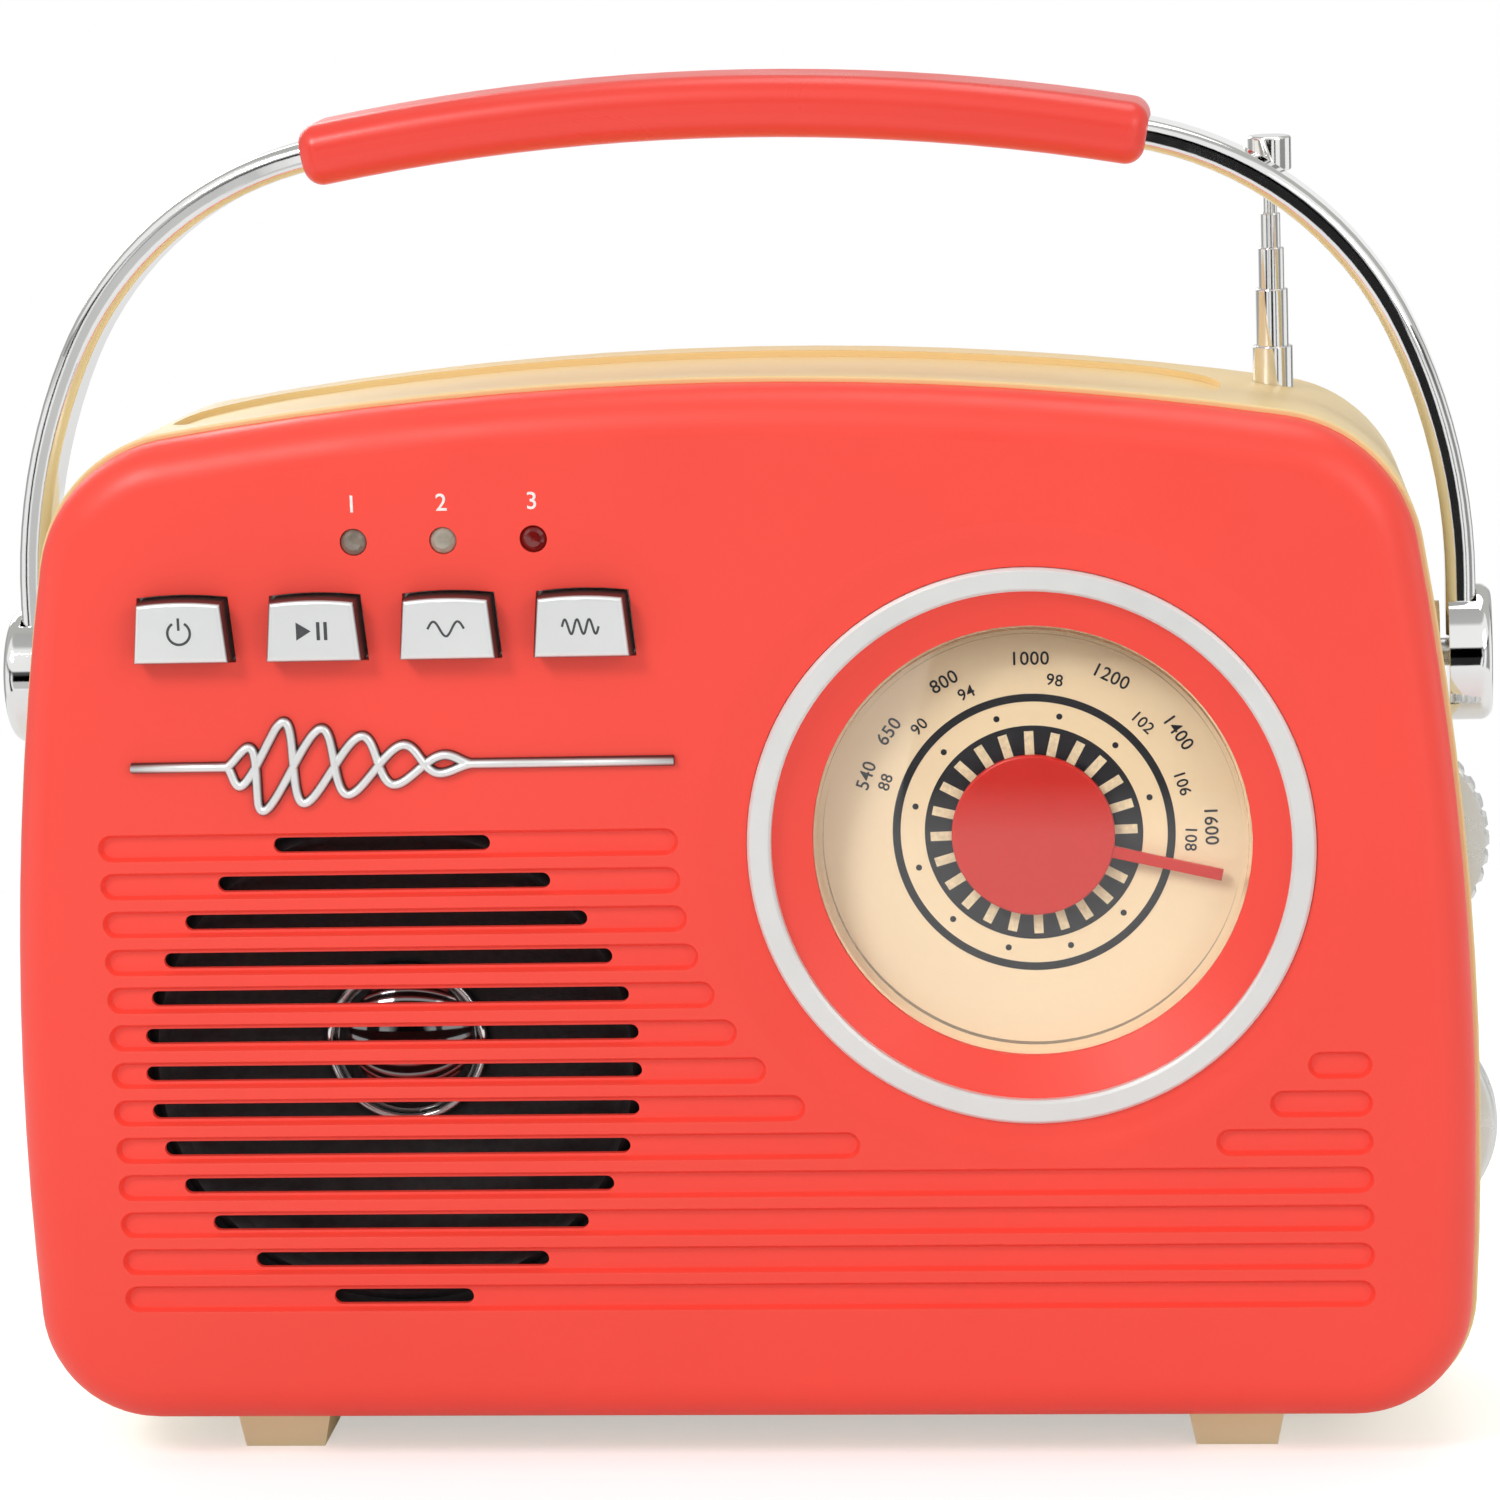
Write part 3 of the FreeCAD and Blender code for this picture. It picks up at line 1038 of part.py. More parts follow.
def make_grip():
    """A moulded grip turned along the crown arc, with a channel for the strap."""
    y = back(HUB_DEPTH)
    centre = V(0, y, STRAP_TOP_Z - STRAP_CROWN_RADIUS)
    half_angle = math.degrees(GRIP_HALF_LENGTH / STRAP_CROWN_RADIUS)

    def bar(thickness, width, radius, angle):
        z0 = STRAP_TOP_Z - thickness / 2
        plate = box(-1, 0, y - width / 2, y + width / 2, z0, z0 + thickness)
        plate = plate.makeFillet(radius, [e for e in plate.Edges if e.BoundBox.XLength > 0.5])
        face = [f for f in plate.Faces if f.BoundBox.XLength < 1e-6 and abs(f.BoundBox.XMin) < 1e-6][0]
        face.rotate(centre, Y_AXIS, -angle)
        return face.revolve(centre, Y_AXIS, 2 * angle)

    outer = bar(GRIP_THICKNESS, GRIP_WIDTH, 4.6, half_angle)
    ends = [e for e in outer.Edges if e.BoundBox.XLength < 6 and abs(e.BoundBox.Center.x) > 40]
    outer = outer.makeFillet(GRIP_END_ROUND, ends)
    channel = bar(STRAP_THICKNESS + 2 * SEAT_GAP, STRAP_WIDTH + 2 * SEAT_GAP, 2.0, half_angle + 1.0)
    return outer.cut(channel)


def make_hub(side):
    """A round hub with a slot for the strap's end and a threaded socket for its bolt."""
    inner = hub_face_x() + HUB_SIDE_GAP
    barrel = rod(HUB_RADIUS, V(side * inner, back(HUB_DEPTH), HUB_Z), X_AXIS * side, HUB_OUTER_X - inner)
    rim = [e for e in barrel.Edges
           if e.BoundBox.XLength < 1e-6 and abs(abs(e.BoundBox.XMin) - HUB_OUTER_X) < 1e-6]
    barrel = barrel.makeFillet(2.2, rim)
    x = HUB_OUTER_X - STRAP_INSET - STRAP_THICKNESS / 2
    half = STRAP_THICKNESS / 2 + SEAT_GAP
    slot_x = sorted((side * (x - half), side * (x + half)))
    slot = box(slot_x[0], slot_x[1], back(HUB_DEPTH) - STRAP_WIDTH / 2 - SEAT_GAP,
               back(HUB_DEPTH) + STRAP_WIDTH / 2 + SEAT_GAP,
               HUB_Z + STRAP_FOOT_LIFT - SEAT_GAP, HUB_Z + 2 * HUB_RADIUS)
    socket = rod(BOLT_RADIUS, V(side * (inner - 1), back(HUB_DEPTH), HUB_Z), X_AXIS * side, 1 + 6.0)
    return barrel.cut(slot).cut(socket)


def make_bolt(side):
    """The pivot bolt: its head is inside the case and its shank ends in the hub."""
    hub_inner = hub_face_x() + HUB_SIDE_GAP
    boss_end = hub_face_x() - 9.0
    head = rod(5.0, V(side * (boss_end - FIT_GAP), back(HUB_DEPTH), HUB_Z), X_AXIS * -side, 3.0)
    shank = rod(BOLT_RADIUS, V(side * (boss_end - 1), back(HUB_DEPTH), HUB_Z), X_AXIS * side,
                hub_inner + 6.0 - boss_end + 1)
    return fuse([head, shank])


# ---------------------------------------------------------------- aerial

def make_aerial_section(index):
    """One tube of the aerial: its foot is flared to stay in the tube outside it, and its
    mouth is drawn in around the next tube. The last one is a solid rod with the cap."""
    x, y = AERIAL_X, back(AERIAL_DEPTH)
    r = AERIAL_RADII[index]
    top = AERIAL_TOPS[index]
    bottom = AERIAL_BOTTOM_Z + 0.5 + 12.0 * index
    if index == 0:
        bottom = AERIAL_BOTTOM_Z
    body = rod(r, V(x, y, bottom), Z_AXIS, top - bottom)
    if index > 0:
        flare = AERIAL_RADII[index - 1] - AERIAL_SHEET - RUNNING_GAP
        body = body.fuse(rod(flare, V(x, y, bottom), Z_AXIS, 4.0)).removeSplitter()
    if index + 1 < len(AERIAL_RADII):
        bore = rod(r - AERIAL_SHEET, V(x, y, bottom + (1.0 if index == 0 else -1.0)), Z_AXIS,
                   top - bottom - (2.5 if index == 0 else 0.5))
        mouth = rod(AERIAL_RADII[index + 1] + RUNNING_GAP, V(x, y, bottom + 5), Z_AXIS, top)
        body = body.cut(bore).cut(mouth)
        rim = [e for e in body.Edges
               if abs(e.BoundBox.ZMin - top) < 1e-6 and e.BoundBox.XLength > 2 * r - 0.01]
        body = body.makeFillet(0.25, rim)
    return body


def make_aerial_cap():
    x, y = AERIAL_X, back(AERIAL_DEPTH)
    z = AERIAL_TOPS[-1]
    cap = rod(AERIAL_CAP_RADIUS, V(x, y, z), Z_AXIS, AERIAL_CAP_LENGTH)
    return cap.makeFillet(0.5, [e for e in cap.Edges if e.BoundBox.ZLength < 1e-6])


# ---------------------------------------------------------------- batteries

def make_batteries():
    cells = []
    y = back(BAY_DEPTH + CELL_RADIUS + CELL_CLEARANCE)
    for row in range(2):
        z = BAY_BOTTOM_Z + CELL_ROW * (row + 0.5)
        for column in range(2):
            x = BAY_LEFT + CONTACT_ROOM / 2 + column * CELL_LENGTH
            can = rod(CELL_RADIUS, V(x, y, z), X_AXIS, CELL_LENGTH - 1.6)
            can = can.makeFillet(0.8, [e for e in can.Edges if e.BoundBox.XLength < 1e-6])
            cells.append(can.fuse(rod(3.5, V(x + CELL_LENGTH - 1.7, y, z), X_AXIS, 1.6)).removeSplitter())
    return group(cells)


def make_battery_contacts():
    y = back(BAY_DEPTH + CELL_RADIUS + CELL_CLEARANCE)
    plates = []
    for row in range(2):
        z = BAY_BOTTOM_Z + CELL_ROW * (row + 0.5)
        for x, side in ((BAY_LEFT, 1), (BAY_RIGHT, -1)):
            plate = box(min(x, x + side * 0.4), max(x, x + side * 0.4), y - 6, y + 6, z - 6, z + 6)
            cone = Part.makeCone(5.0, 3.0, CONTACT_ROOM / 2 - 0.5, V(x + side * 0.3, y, z), X_AXIS * side)
            plates.append(plate.fuse(cone).removeSplitter())
    return group(plates)


def make_battery_door():
    y = back(BODY_DEPTH) - DOOR_SHEET
    door = prism(door_outline(0.0, y), V(0, DOOR_SHEET, 0))
    low = [e for e in door.Edges if e.BoundBox.ZLength < 1e-6 and e.BoundBox.XLength > 50
           and abs(e.BoundBox.ZMin - BAY_BOTTOM_Z) < 1e-6]
    door = door.makeFillet(DOOR_SHEET / 2 - 0.01, low)
    pivot_y = back(BODY_DEPTH) - DOOR_SHEET / 2
    pivot_z = BAY_BOTTOM_Z + DOOR_SHEET / 2
    pins = [rod(DOOR_SHEET / 2 - 0.01, V(BAY_LEFT - DOOR_OVERLAP + 1, pivot_y, pivot_z), -X_AXIS, 3.2),
            rod(DOOR_SHEET / 2 - 0.01, V(BAY_RIGHT + DOOR_OVERLAP - 1, pivot_y, pivot_z), X_AXIS, 3.2)]
    middle = (BAY_LEFT + BAY_RIGHT) / 2
    notch = box(middle - 9, middle + 9, y + 1.2, back(BODY_DEPTH) + 1,
                BAY_TOP_Z + DOOR_OVERLAP - 7, BAY_TOP_Z + DOOR_OVERLAP - 4)
    return fuse([door] + pins).cut(notch)


# ---------------------------------------------------------------- sockets and screws

def make_audio_jack():
    return tube_y(AUDIO_JACK_RADIUS, AUDIO_BORE_RADIUS, AUDIO_JACK_X, JACK_Z,
                  BODY_DEPTH - JACK_LENGTH + SEAT_GAP, BODY_DEPTH)


def make_power_jack():
    start = BODY_DEPTH - JACK_LENGTH + SEAT_GAP
    can = tube_y(POWER_JACK_RADIUS, POWER_BORE_RADIUS, POWER_JACK_X, JACK_Z, start, BODY_DEPTH)
    floor = rod_y(POWER_JACK_RADIUS, POWER_JACK_X, JACK_Z, start, start + 2)
    pin = rod_y(POWER_PIN_RADIUS, POWER_JACK_X, JACK_Z, start + 1, BODY_DEPTH - 1.5)
    return fuse([can, floor, pin])


def make_screws(places, head_depth, length):
    return group([pan_screw(x, z, head_depth, length) for x, z in places])


# ---------------------------------------------------------------- all nodes

nodes = {
    "front_shell": make_front_shell(),
    "rear_shell": make_rear_shell(),
    "feet": make_feet(),
    "dial_ring": make_dial_ring(),
    "dial_lens": make_dial_lens(),
    "dial_plate": make_dial_plate(),
    "dial_carrier": make_dial_carrier(),
    "dial_screws": make_screws(dial_screw_places(), PLATE_DEPTH + PLATE_SHEET + DIAL_CUP_WALL, 7.0),
    "pointer": make_pointer(),
    "pointer_shaft": make_pointer_shaft(),
    "pointer_pulley": make_pointer_pulley(),
    "drive_cord": make_drive_cord(),
    "tuning_wheel": make_tuning_wheel(),
    "tuning_shaft": make_wheel_shaft(TUNING_X, TUNING_Z, PULLEY_DEPTH),
    "tuning_capacitor": make_tuning_capacitor(),
    "volume_wheel": make_volume_wheel(),
    "volume_shaft": make_wheel_shaft(VOLUME_X, VOLUME_Z, WHEEL_DEPTH),
    "volume_control": make_volume_control(),
    "trim_scroll": make_trim(),
    "control_board": make_control_board(),
    "control_board_screws": make_screws(control_board_places(), CONTROL_BOARD_DEPTH + BOARD_SHEET, 6.0),
    "switches": make_switches(),
    "main_board": make_main_board(),
    "main_board_screws": make_screws(main_board_places(), MAIN_BOARD_DEPTH + BOARD_SHEET, 6.0),
    "board_parts": make_board_parts(),
    "ferrite_rod": make_ferrite_rod(),
    "ferrite_coil": make_ferrite_coil(),
    "rod_clips": make_rod_clips(),
    "speaker_gasket": make_speaker_gasket(),
    "speaker_basket": make_speaker_basket(),
    "speaker_cone": make_speaker_cone(),
    "speaker_dust_cap": make_dust_cap(),
    "speaker_voice_coil": make_voice_coil(),
    "speaker_magnet": make_speaker_magnet(),
    "speaker_screws": make_screws(speaker_screw_places(), speaker_sheet_front() + SPEAKER_SHEET, 3.4),
    "case_screws": make_screws(case_screw_places(), CASE_JOIN_DEPTH + 4.0, 13.0),
    "handle_strap": make_strap(),
    "handle_grip": make_grip(),
    "handle_hub_left": make_hub(-1),
    "handle_hub_right": make_hub(1),
    "handle_bolt_left": make_bolt(-1),
    "handle_bolt_right": make_bolt(1),
    "aerial_cap": make_aerial_cap(),
    "batteries": make_batteries(),
    "battery_contacts": make_battery_contacts(),
    "battery_door": make_battery_door(),
    "audio_jack": make_audio_jack(),
    "power_jack": make_power_jack(),
}
for number in range(BUTTON_COUNT):
    nodes["button_%d" % (number + 1)] = make_button(number)
for number, lamp_x in enumerate(LAMP_X):
    nodes["lamp_%d" % (number + 1)] = make_lamp(lamp_x)
for number in range(len(AERIAL_RADII)):
    nodes["aerial_section_%d" % (number + 1)] = make_aerial_section(number)

os.makedirs("parts", exist_ok=True)
for name, shape in nodes.items():
    shape.exportStep("parts/" + name + ".step")
    print(name, shape.isValid(), len(shape.Solids), round(shape.Volume, 1))
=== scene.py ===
import math
from functools import partial

import bmesh
import bpy
from mathutils import Matrix, Vector


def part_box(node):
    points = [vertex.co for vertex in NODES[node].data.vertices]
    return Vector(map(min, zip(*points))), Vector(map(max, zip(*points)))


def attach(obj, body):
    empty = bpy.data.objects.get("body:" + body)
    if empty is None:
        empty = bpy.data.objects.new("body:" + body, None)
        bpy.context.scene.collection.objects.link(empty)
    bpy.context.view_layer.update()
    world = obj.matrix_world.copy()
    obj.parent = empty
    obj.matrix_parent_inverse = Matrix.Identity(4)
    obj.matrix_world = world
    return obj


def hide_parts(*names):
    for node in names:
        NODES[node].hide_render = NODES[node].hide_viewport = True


# The looks of a portable radio, made around its packed construction.
# Metres, +Z up, the front faces -Y. MM turns millimetres into metres.

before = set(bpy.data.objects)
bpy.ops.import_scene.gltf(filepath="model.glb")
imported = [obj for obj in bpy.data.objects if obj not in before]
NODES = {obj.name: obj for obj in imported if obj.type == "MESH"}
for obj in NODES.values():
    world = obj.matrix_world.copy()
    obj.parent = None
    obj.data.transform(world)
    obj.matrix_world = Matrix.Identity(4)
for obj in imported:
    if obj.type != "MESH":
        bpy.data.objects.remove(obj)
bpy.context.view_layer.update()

MM = 0.001


# ---------------------------------------------------------------- places from the frame

def middle(node):
    """The centre of a node's box."""
    low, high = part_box(node)
    return (low + high) / 2


BUTTONS = ["button_1", "button_2", "button_3", "button_4"]
LAMPS = ["lamp_1", "lamp_2", "lamp_3"]
DIAL = middle("dial_ring")
PLATE_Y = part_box("dial_carrier")[0].y       # the dial plate's flat face, level with its carrier
PANEL_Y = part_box("trim_scroll")[1].y        # the front panel, where the trim bar's back lies

# ---------------------------------------------------------------- sizes of the prints

PRINT_THICKNESS = 0.06 * MM
PRINT_SUNK = 0.01 * MM          # how far a print's back lies inside what it is printed on
SECOND_PRINT = 0.02 * MM        # how much further out a print on another print lies
PRINT_BOLD = 0.03 * MM          # how far a letter's outline grows
CAPITAL_HEIGHT = 0.70           # a capital's height as a share of the font's size
LETTER_SPACING = 1.06
LETTER_RESOLUTION = 6
UPRIGHT = Matrix.Rotation(math.radians(90), 4, "X")

# Each printed circle of the dial: its middle radius, its width and how many points it has.
DIAL_LINE = (24.3 * MM, 1.4 * MM, 160)
DIAL_BAND = (16.6 * MM, 5.4 * MM, 128)
DOT_CIRCLE_RADIUS = 21.4 * MM
DOT_RADIUS = 0.55 * MM
DOT_POINTS = 20
DOT_START = 76.5                # degrees from +X to the first dot and the first bar
DOT_COUNT = 12
TICK_REACH = (14.0 * MM, 18.3 * MM)     # the radii of a bar's two ends
TICK_WIDTH = 1.65 * MM
TICK_COUNT = 24

# Each row of the dial: its radius, the height of its numbers, and each number with its angle.
OUTER_ROW = (31.2 * MM, 2.35 * MM, {"540": 160, "650": 143.5, "800": 119, "1000": 90,
                                    "1200": 63, "1400": 34.5, "1600": 1.5})
INNER_ROW = (27.6 * MM, 2.05 * MM, {"88": 160, "90": 135.5, "94": 114, "98": 81,
                                    "102": 45, "106": 18, "108": -3})

LAMP_NUMBER_LIFT = 6.6 * MM
LAMP_NUMBER_HEIGHT = 3.0 * MM

POWER_RADIUS = 2.0 * MM
POWER_ARC = (122, 296)          # the open ring's start and turn, in degrees
POWER_POINTS = 28
POWER_STEM = (0.5 * MM, 2.7 * MM)       # from the ring's middle to the stem's two ends
POWER_WIDTH = 0.45 * MM
PLAY_SPAN = (-2.8 * MM, -0.2 * MM)      # from the sign's middle to the triangle's base and tip
PAUSE_BARS = (1.1 * MM, 2.4 * MM)
PAUSE_WIDTH = 0.6 * MM
PLAY_HALF_HEIGHT = 1.6 * MM
WAVE_HALF_LENGTH = 3.2 * MM
WAVE_HEIGHT = 1.3 * MM
WAVE_WIDTH = 0.4 * MM
WAVE_STEPS = 60
SLOW_CYCLES = 1.5
QUICK_CYCLES = 3.0

# ---------------------------------------------------------------- sizes of the trim

TRIM_HALF = 0.95 * MM           # half a strand's width
TRIM_RISE = 1.4 * MM            # how far a strand stands off the panel
TRIM_FACETS = 10
BACK_STRAND_RISE = 0.9 * TRIM_RISE      # lower, so that the fronts differ where strands cross
TRIM_Z = DIAL.z + 16.9 * MM
STRAND_START = 17 * MM          # from the bar's left end to the first loop
STRAND_LEAD = 1.5 * MM
STRAND_LENGTH = 44 * MM
STRAND_STEPS = 150
STRAND_SWAY = 9.5 * MM
STRAND_LOOPS = 6                # each is half a wave
STRAND_SLANT = 0.28             # how far the loops lean to the right
STRAND_FADE = 0.8               # how quickly the sway dies out along the strand
STRAND_CROWDING = 0.85          # below 1 the loops are closer together at the start
STRAND_OPENING = 6              # the sway is full after one sixth of the strand

BEAD_RADIUS = 0.75 * MM
BEAD_OUT = 0.1 * MM             # from the dust cap's edge out to the bead's centre line
BEAD_FORWARD = 0.9 * MM         # from the cap's back forward to the bead's centre line
BEAD_STEPS = 96
BEAD_SIDES = 10

# ---------------------------------------------------------------- values of the materials

EDGE_SAMPLES = 4
PLASTIC_EDGE = 0.25 * MM        # how far the shading rounds the edges
METAL_EDGE = 0.3 * MM
CORNER_RADIUS = 0.8 * MM        # how far the painted highlight on a moulding's corners reaches
CORNER_RANGE = (0.90, 0.995)    # how far a normal agrees with its rounded one, corner to flat
FRONT_RANGE = (-0.80, -0.35)    # the Y of a normal that faces the front, and of one that doesn't
LENS_TINT = (0.99, 0.985, 0.97)
DIAL_GLOW_OFFSET = (8 * MM, 6 * MM)     # from the dial's middle, right and up
DIAL_GLOW_SPREAD = (10 * MM, 46 * MM)
DIAL_INNER_TONE = (1.0, 0.79, 0.50)
DIAL_OUTER_TONE = (1.0, 0.80, 0.55)
WHITE = (1.0, 1.0, 1.0)
SPECK_TONE = (0.98, 0.98, 0.98)

# ---------------------------------------------------------------- sizes of the stage

CAMERA_ANGLES = (6.0857, 11.4449, 2.0791)       # yaw, downward pitch and roll, in degrees
CAMERA_PLACE = (0.10366, -0.96385, 0.32075)
CAMERA_LENS = 130.86            # in millimetres, as the sensor's width is
CAMERA_SENSOR = 36.0
CAMERA_CLIP = (0.05, 200.0)

AIM = (0, 0, 0.1)               # where every lamp points
# Each lamp: its place, its side and its power in watts.
STUDIO_LAMPS = {
    "key": ((-1.0, -1.4, 1.5), 0.6, 16.5),
    "fill": ((1.4, -1.3, 1.0), 0.9, 6.5),
    "top": ((0.2, 0.4, 1.7), 0.9, 6.0),
    "rear": ((-0.9, 1.6, 0.9), 0.9, 8.0),
}

WORLD_LIGHT = 0.50              # the sky's strength as a lamp
# Where each sector starts, in degrees to the right of the front, and how bright it is.
# Metal mirrors the sectors as streaks.
SECTORS = [(-180, 0.8), (-150, 0.40), (-100, 0.95), (-52, 0.02), (-36, 0.95), (-24, 0.6),
           (-14, 0.95), (-2.5, 0.02), (14, 0.95), (27, 0.05), (34, 0.95), (58, 0.30), (92, 0.95),
           (128, 0.05), (138, 0.45), (165, 0.9)]
# How bright the mirrored sky is at each height, from 0 at the horizon to 1 overhead.
SKY_TONES = [(0.0, 0.0), (0.26, 0.0), (0.30, 0.95), (0.80, 0.95), (0.86, 0.5), (1.0, 0.45)]
SKY_BEHIND = (0.5, 0.5, 0.48)
SECTOR_TOP = (0.12, 0.3)        # the heights between which the sectors give way to the sky
STRAIGHT_AHEAD = (-0.96, -0.92)     # the directions' Y between which the sectors begin
BACK_EDGE = (-0.05, 0.05)       # the directions' Y between which the sky behind begins

FLOOR_REACH = 40.0
FLOOR_TONE = 0.86
MIRRORED_FLOOR = (0.9, 0.9, 0.9)
FLOOR_LIFT = 0.45               # the floor's own glow, for the camera only
FLOOR_FADE = (0.20, 0.50)       # the distances between which the floor turns plain white
FLOOR_SECTORS = (0.55, 0.62)    # the distances between which mirrors begin to see the sectors


# ---------------------------------------------------------------- material helpers

def new_material(name):
    """A material with its tree and its Principled shader."""
    material = bpy.data.materials.new(name)
    material.use_nodes = True
    tree = material.node_tree
    return material, tree, tree.nodes["Principled BSDF"]


def add(tree, kind, operation=None, **values):
    """A node of a kind, with its operation, and its inputs set by name."""
    node = tree.nodes.new(kind)
    if operation is not None:
        node.operation = operation
    for name, value in values.items():
        node.inputs[name.replace("_", " ")].default_value = value
    return node


def feed(tree, value, socket):
    """Gives a socket a value, which is a plain one or another socket."""
    if isinstance(value, bpy.types.NodeSocket):
        tree.links.new(value, socket)
    else:
        socket.default_value = value


def object_place(tree, stretch=(1, 1, 1)):
    """Object coordinates, stretched along the axes."""
    coords = add(tree, "ShaderNodeTexCoord")
    mapping = add(tree, "ShaderNodeMapping", Scale=stretch)
    tree.links.new(coords.outputs["Object"], mapping.inputs["Vector"])
    return mapping.outputs["Vector"]


def split(tree, vector):
    """The X, Y and Z outputs of a vector."""
    parts = add(tree, "ShaderNodeSeparateXYZ")
    tree.links.new(vector, parts.inputs[0])
    return parts.outputs


def noise(tree, scale, detail=3.0, stretch=(1, 1, 1)):
    """Soft noise; scale is in waves per metre."""
    node = add(tree, "ShaderNodeTexNoise", Scale=scale, Detail=detail)
    tree.links.new(object_place(tree, stretch), node.inputs["Vector"])
    return node.outputs["Fac"]


def mapped(tree, source, low, high, start=0.3, end=0.7):
    """A value that runs from low to high while its source runs from start to end."""
    node = add(tree, "ShaderNodeMapRange", From_Min=start, From_Max=end, To_Min=low, To_Max=high)
    tree.links.new(source, node.inputs["Value"])
    return node.outputs["Result"]


def drift(tree, scale, low=0.0, high=1.0, detail=3.0, stretch=(1, 1, 1)):
    """Noise that wanders between a low and a high value."""
    return mapped(tree, noise(tree, scale, detail, stretch), low, high)


def maths(tree, operation, first, second):
    """One step of arithmetic on two values, each a number or a socket."""
    node = add(tree, "ShaderNodeMath", operation)
    feed(tree, first, node.inputs[0])
    feed(tree, second, node.inputs[1])
    return node.outputs[0]


def between(tree, factor, first, second, blend="MIX"):
    """A mix of two colours, each a colour or a socket; the factor is a number or a socket."""
    node = add(tree, "ShaderNodeMix")
    node.data_type = "RGBA"
    node.blend_type = blend
    feed(tree, factor, node.inputs[0])
    for index, colour in ((6, first), (7, second)):
        is_socket = isinstance(colour, bpy.types.NodeSocket)
        feed(tree, colour if is_socket else (*colour, 1), node.inputs[index])
    return node.outputs[2]


def tones(tree, factor, stops, interpolation):
    """Greys along a factor, from (position, tone) stops of which the first is at 0."""
    node = add(tree, "ShaderNodeValToRGB")
    node.color_ramp.interpolation = interpolation
    elements = node.color_ramp.elements
    elements.remove(elements[-1])
    elements[0].color = grey(stops[0][1])
    for position, tone in stops[1:]:
        elements.new(position).color = grey(tone)
    tree.links.new(factor, node.inputs["Fac"])
    return node.outputs["Color"]


def show(tree, factor, first, second, output="Material Output"):
    """A mix of two shaders as the tree's surface."""
    mix = add(tree, "ShaderNodeMixShader")
    tree.links.new(factor, mix.inputs["Fac"])
    tree.links.new(first, mix.inputs[1])
    tree.links.new(second, mix.inputs[2])
    tree.links.new(mix.outputs["Shader"], tree.nodes[output].inputs["Surface"])


def shade(colour, amount):
    """A colour made lighter or darker."""
    return tuple(min(1.0, c * amount) for c in colour)


def grey(tone):
    """A grey of a tone, with full alpha."""
    return (tone, tone, tone, 1)


def bevelled(tree, radius):
    """Normals that round the edges a little."""
    node = add(tree, "ShaderNodeBevel", Radius=radius)
    node.samples = EDGE_SAMPLES
    return node.outputs["Normal"]


def bumped(tree, shader, height, depth, base=None):
    """A height turned into the shader's normals; depth is in metres."""
    node = add(tree, "ShaderNodeBump", Distance=depth, Strength=1.0)
    tree.links.new(height, node.inputs["Height"])
    if base is not None:
        tree.links.new(base, node.inputs["Normal"])
    tree.links.new(node.outputs["Normal"], shader.inputs["Normal"])


def worn_edges(tree, radius):
    """1 on the corners of a piece and 0 on its flats, where moulded plastic gets a painted
    highlight.
    """
    product = add(tree, "ShaderNodeVectorMath", "DOT_PRODUCT")
    geometry = add(tree, "ShaderNodeNewGeometry")
    tree.links.new(bevelled(tree, radius), product.inputs[0])
    tree.links.new(geometry.outputs["Normal"], product.inputs[1])
    return mapped(tree, product.outputs["Value"], 1.0, 0.0, *CORNER_RANGE)


def faces_front(tree):
    """1 where a surface faces the front and 0 where it turns away, where plated metal may take
    painted shade.
    """
    geometry = add(tree, "ShaderNodeNewGeometry")
    return mapped(tree, split(tree, geometry.outputs["Normal"])["Y"], 1.0, 0.0, *FRONT_RANGE)


# ---------------------------------------------------------------- materials

def moulded(name, colour, roughness=0.42, grain=0.02, grain_scale=1800.0, wander=0.03, edge=1.06):
    """Moulded plastic: a fine spark-eroded grain, slow drifts of tone and a painted highlight that
    makes the corners a little lighter than the flats.
    """
    material, tree, shader = new_material(name)
    body = between(tree, drift(tree, 14.0, detail=4.0),
                   shade(colour, 1 - wander), shade(colour, 1 + wander))
    corners = worn_edges(tree, CORNER_RADIUS)
    # painted highlight: the corners take the colour made lighter by the factor edge
    tree.links.new(between(tree, corners, body, shade(colour, edge)), shader.inputs["Base Color"])
    gloss = drift(tree, 60.0, roughness - 0.05, roughness + 0.05, detail=5.0)
    tree.links.new(gloss, shader.inputs["Roughness"])
    bumped(tree, shader, noise(tree, grain_scale, 2.0), grain * MM, bevelled(tree, PLASTIC_EDGE))
    return material


def plated(name, colour, roughness, haze=0.03, ripple=0.004, streak=(1, 1, 1), metallic=1.0,
           flank_shade=None):
    """Plated metal: faint hazing, ripples and hairline marks.

    The flank colour, when given, is painted shade for the surfaces that don't face the front.
    """
    material, tree, shader = new_material(name)
    body = between(tree, drift(tree, 40.0, detail=4.0), shade(colour, 0.96), shade(colour, 1.03))
    # painted shade: surfaces that don't face the front take the dark flank colour
    if flank_shade is not None:
        body = between(tree, faces_front(tree), flank_shade, body)
    tree.links.new(body, shader.inputs["Base Color"])
    shader.inputs["Metallic"].default_value = metallic
    marks = drift(tree, 220.0, max(0.0, roughness - haze), roughness + haze, 6.0, streak)
    tree.links.new(marks, shader.inputs["Roughness"])
    bumped(tree, shader, noise(tree, 90.0, 2.0, streak), ripple * MM, bevelled(tree, METAL_EDGE))
    return material


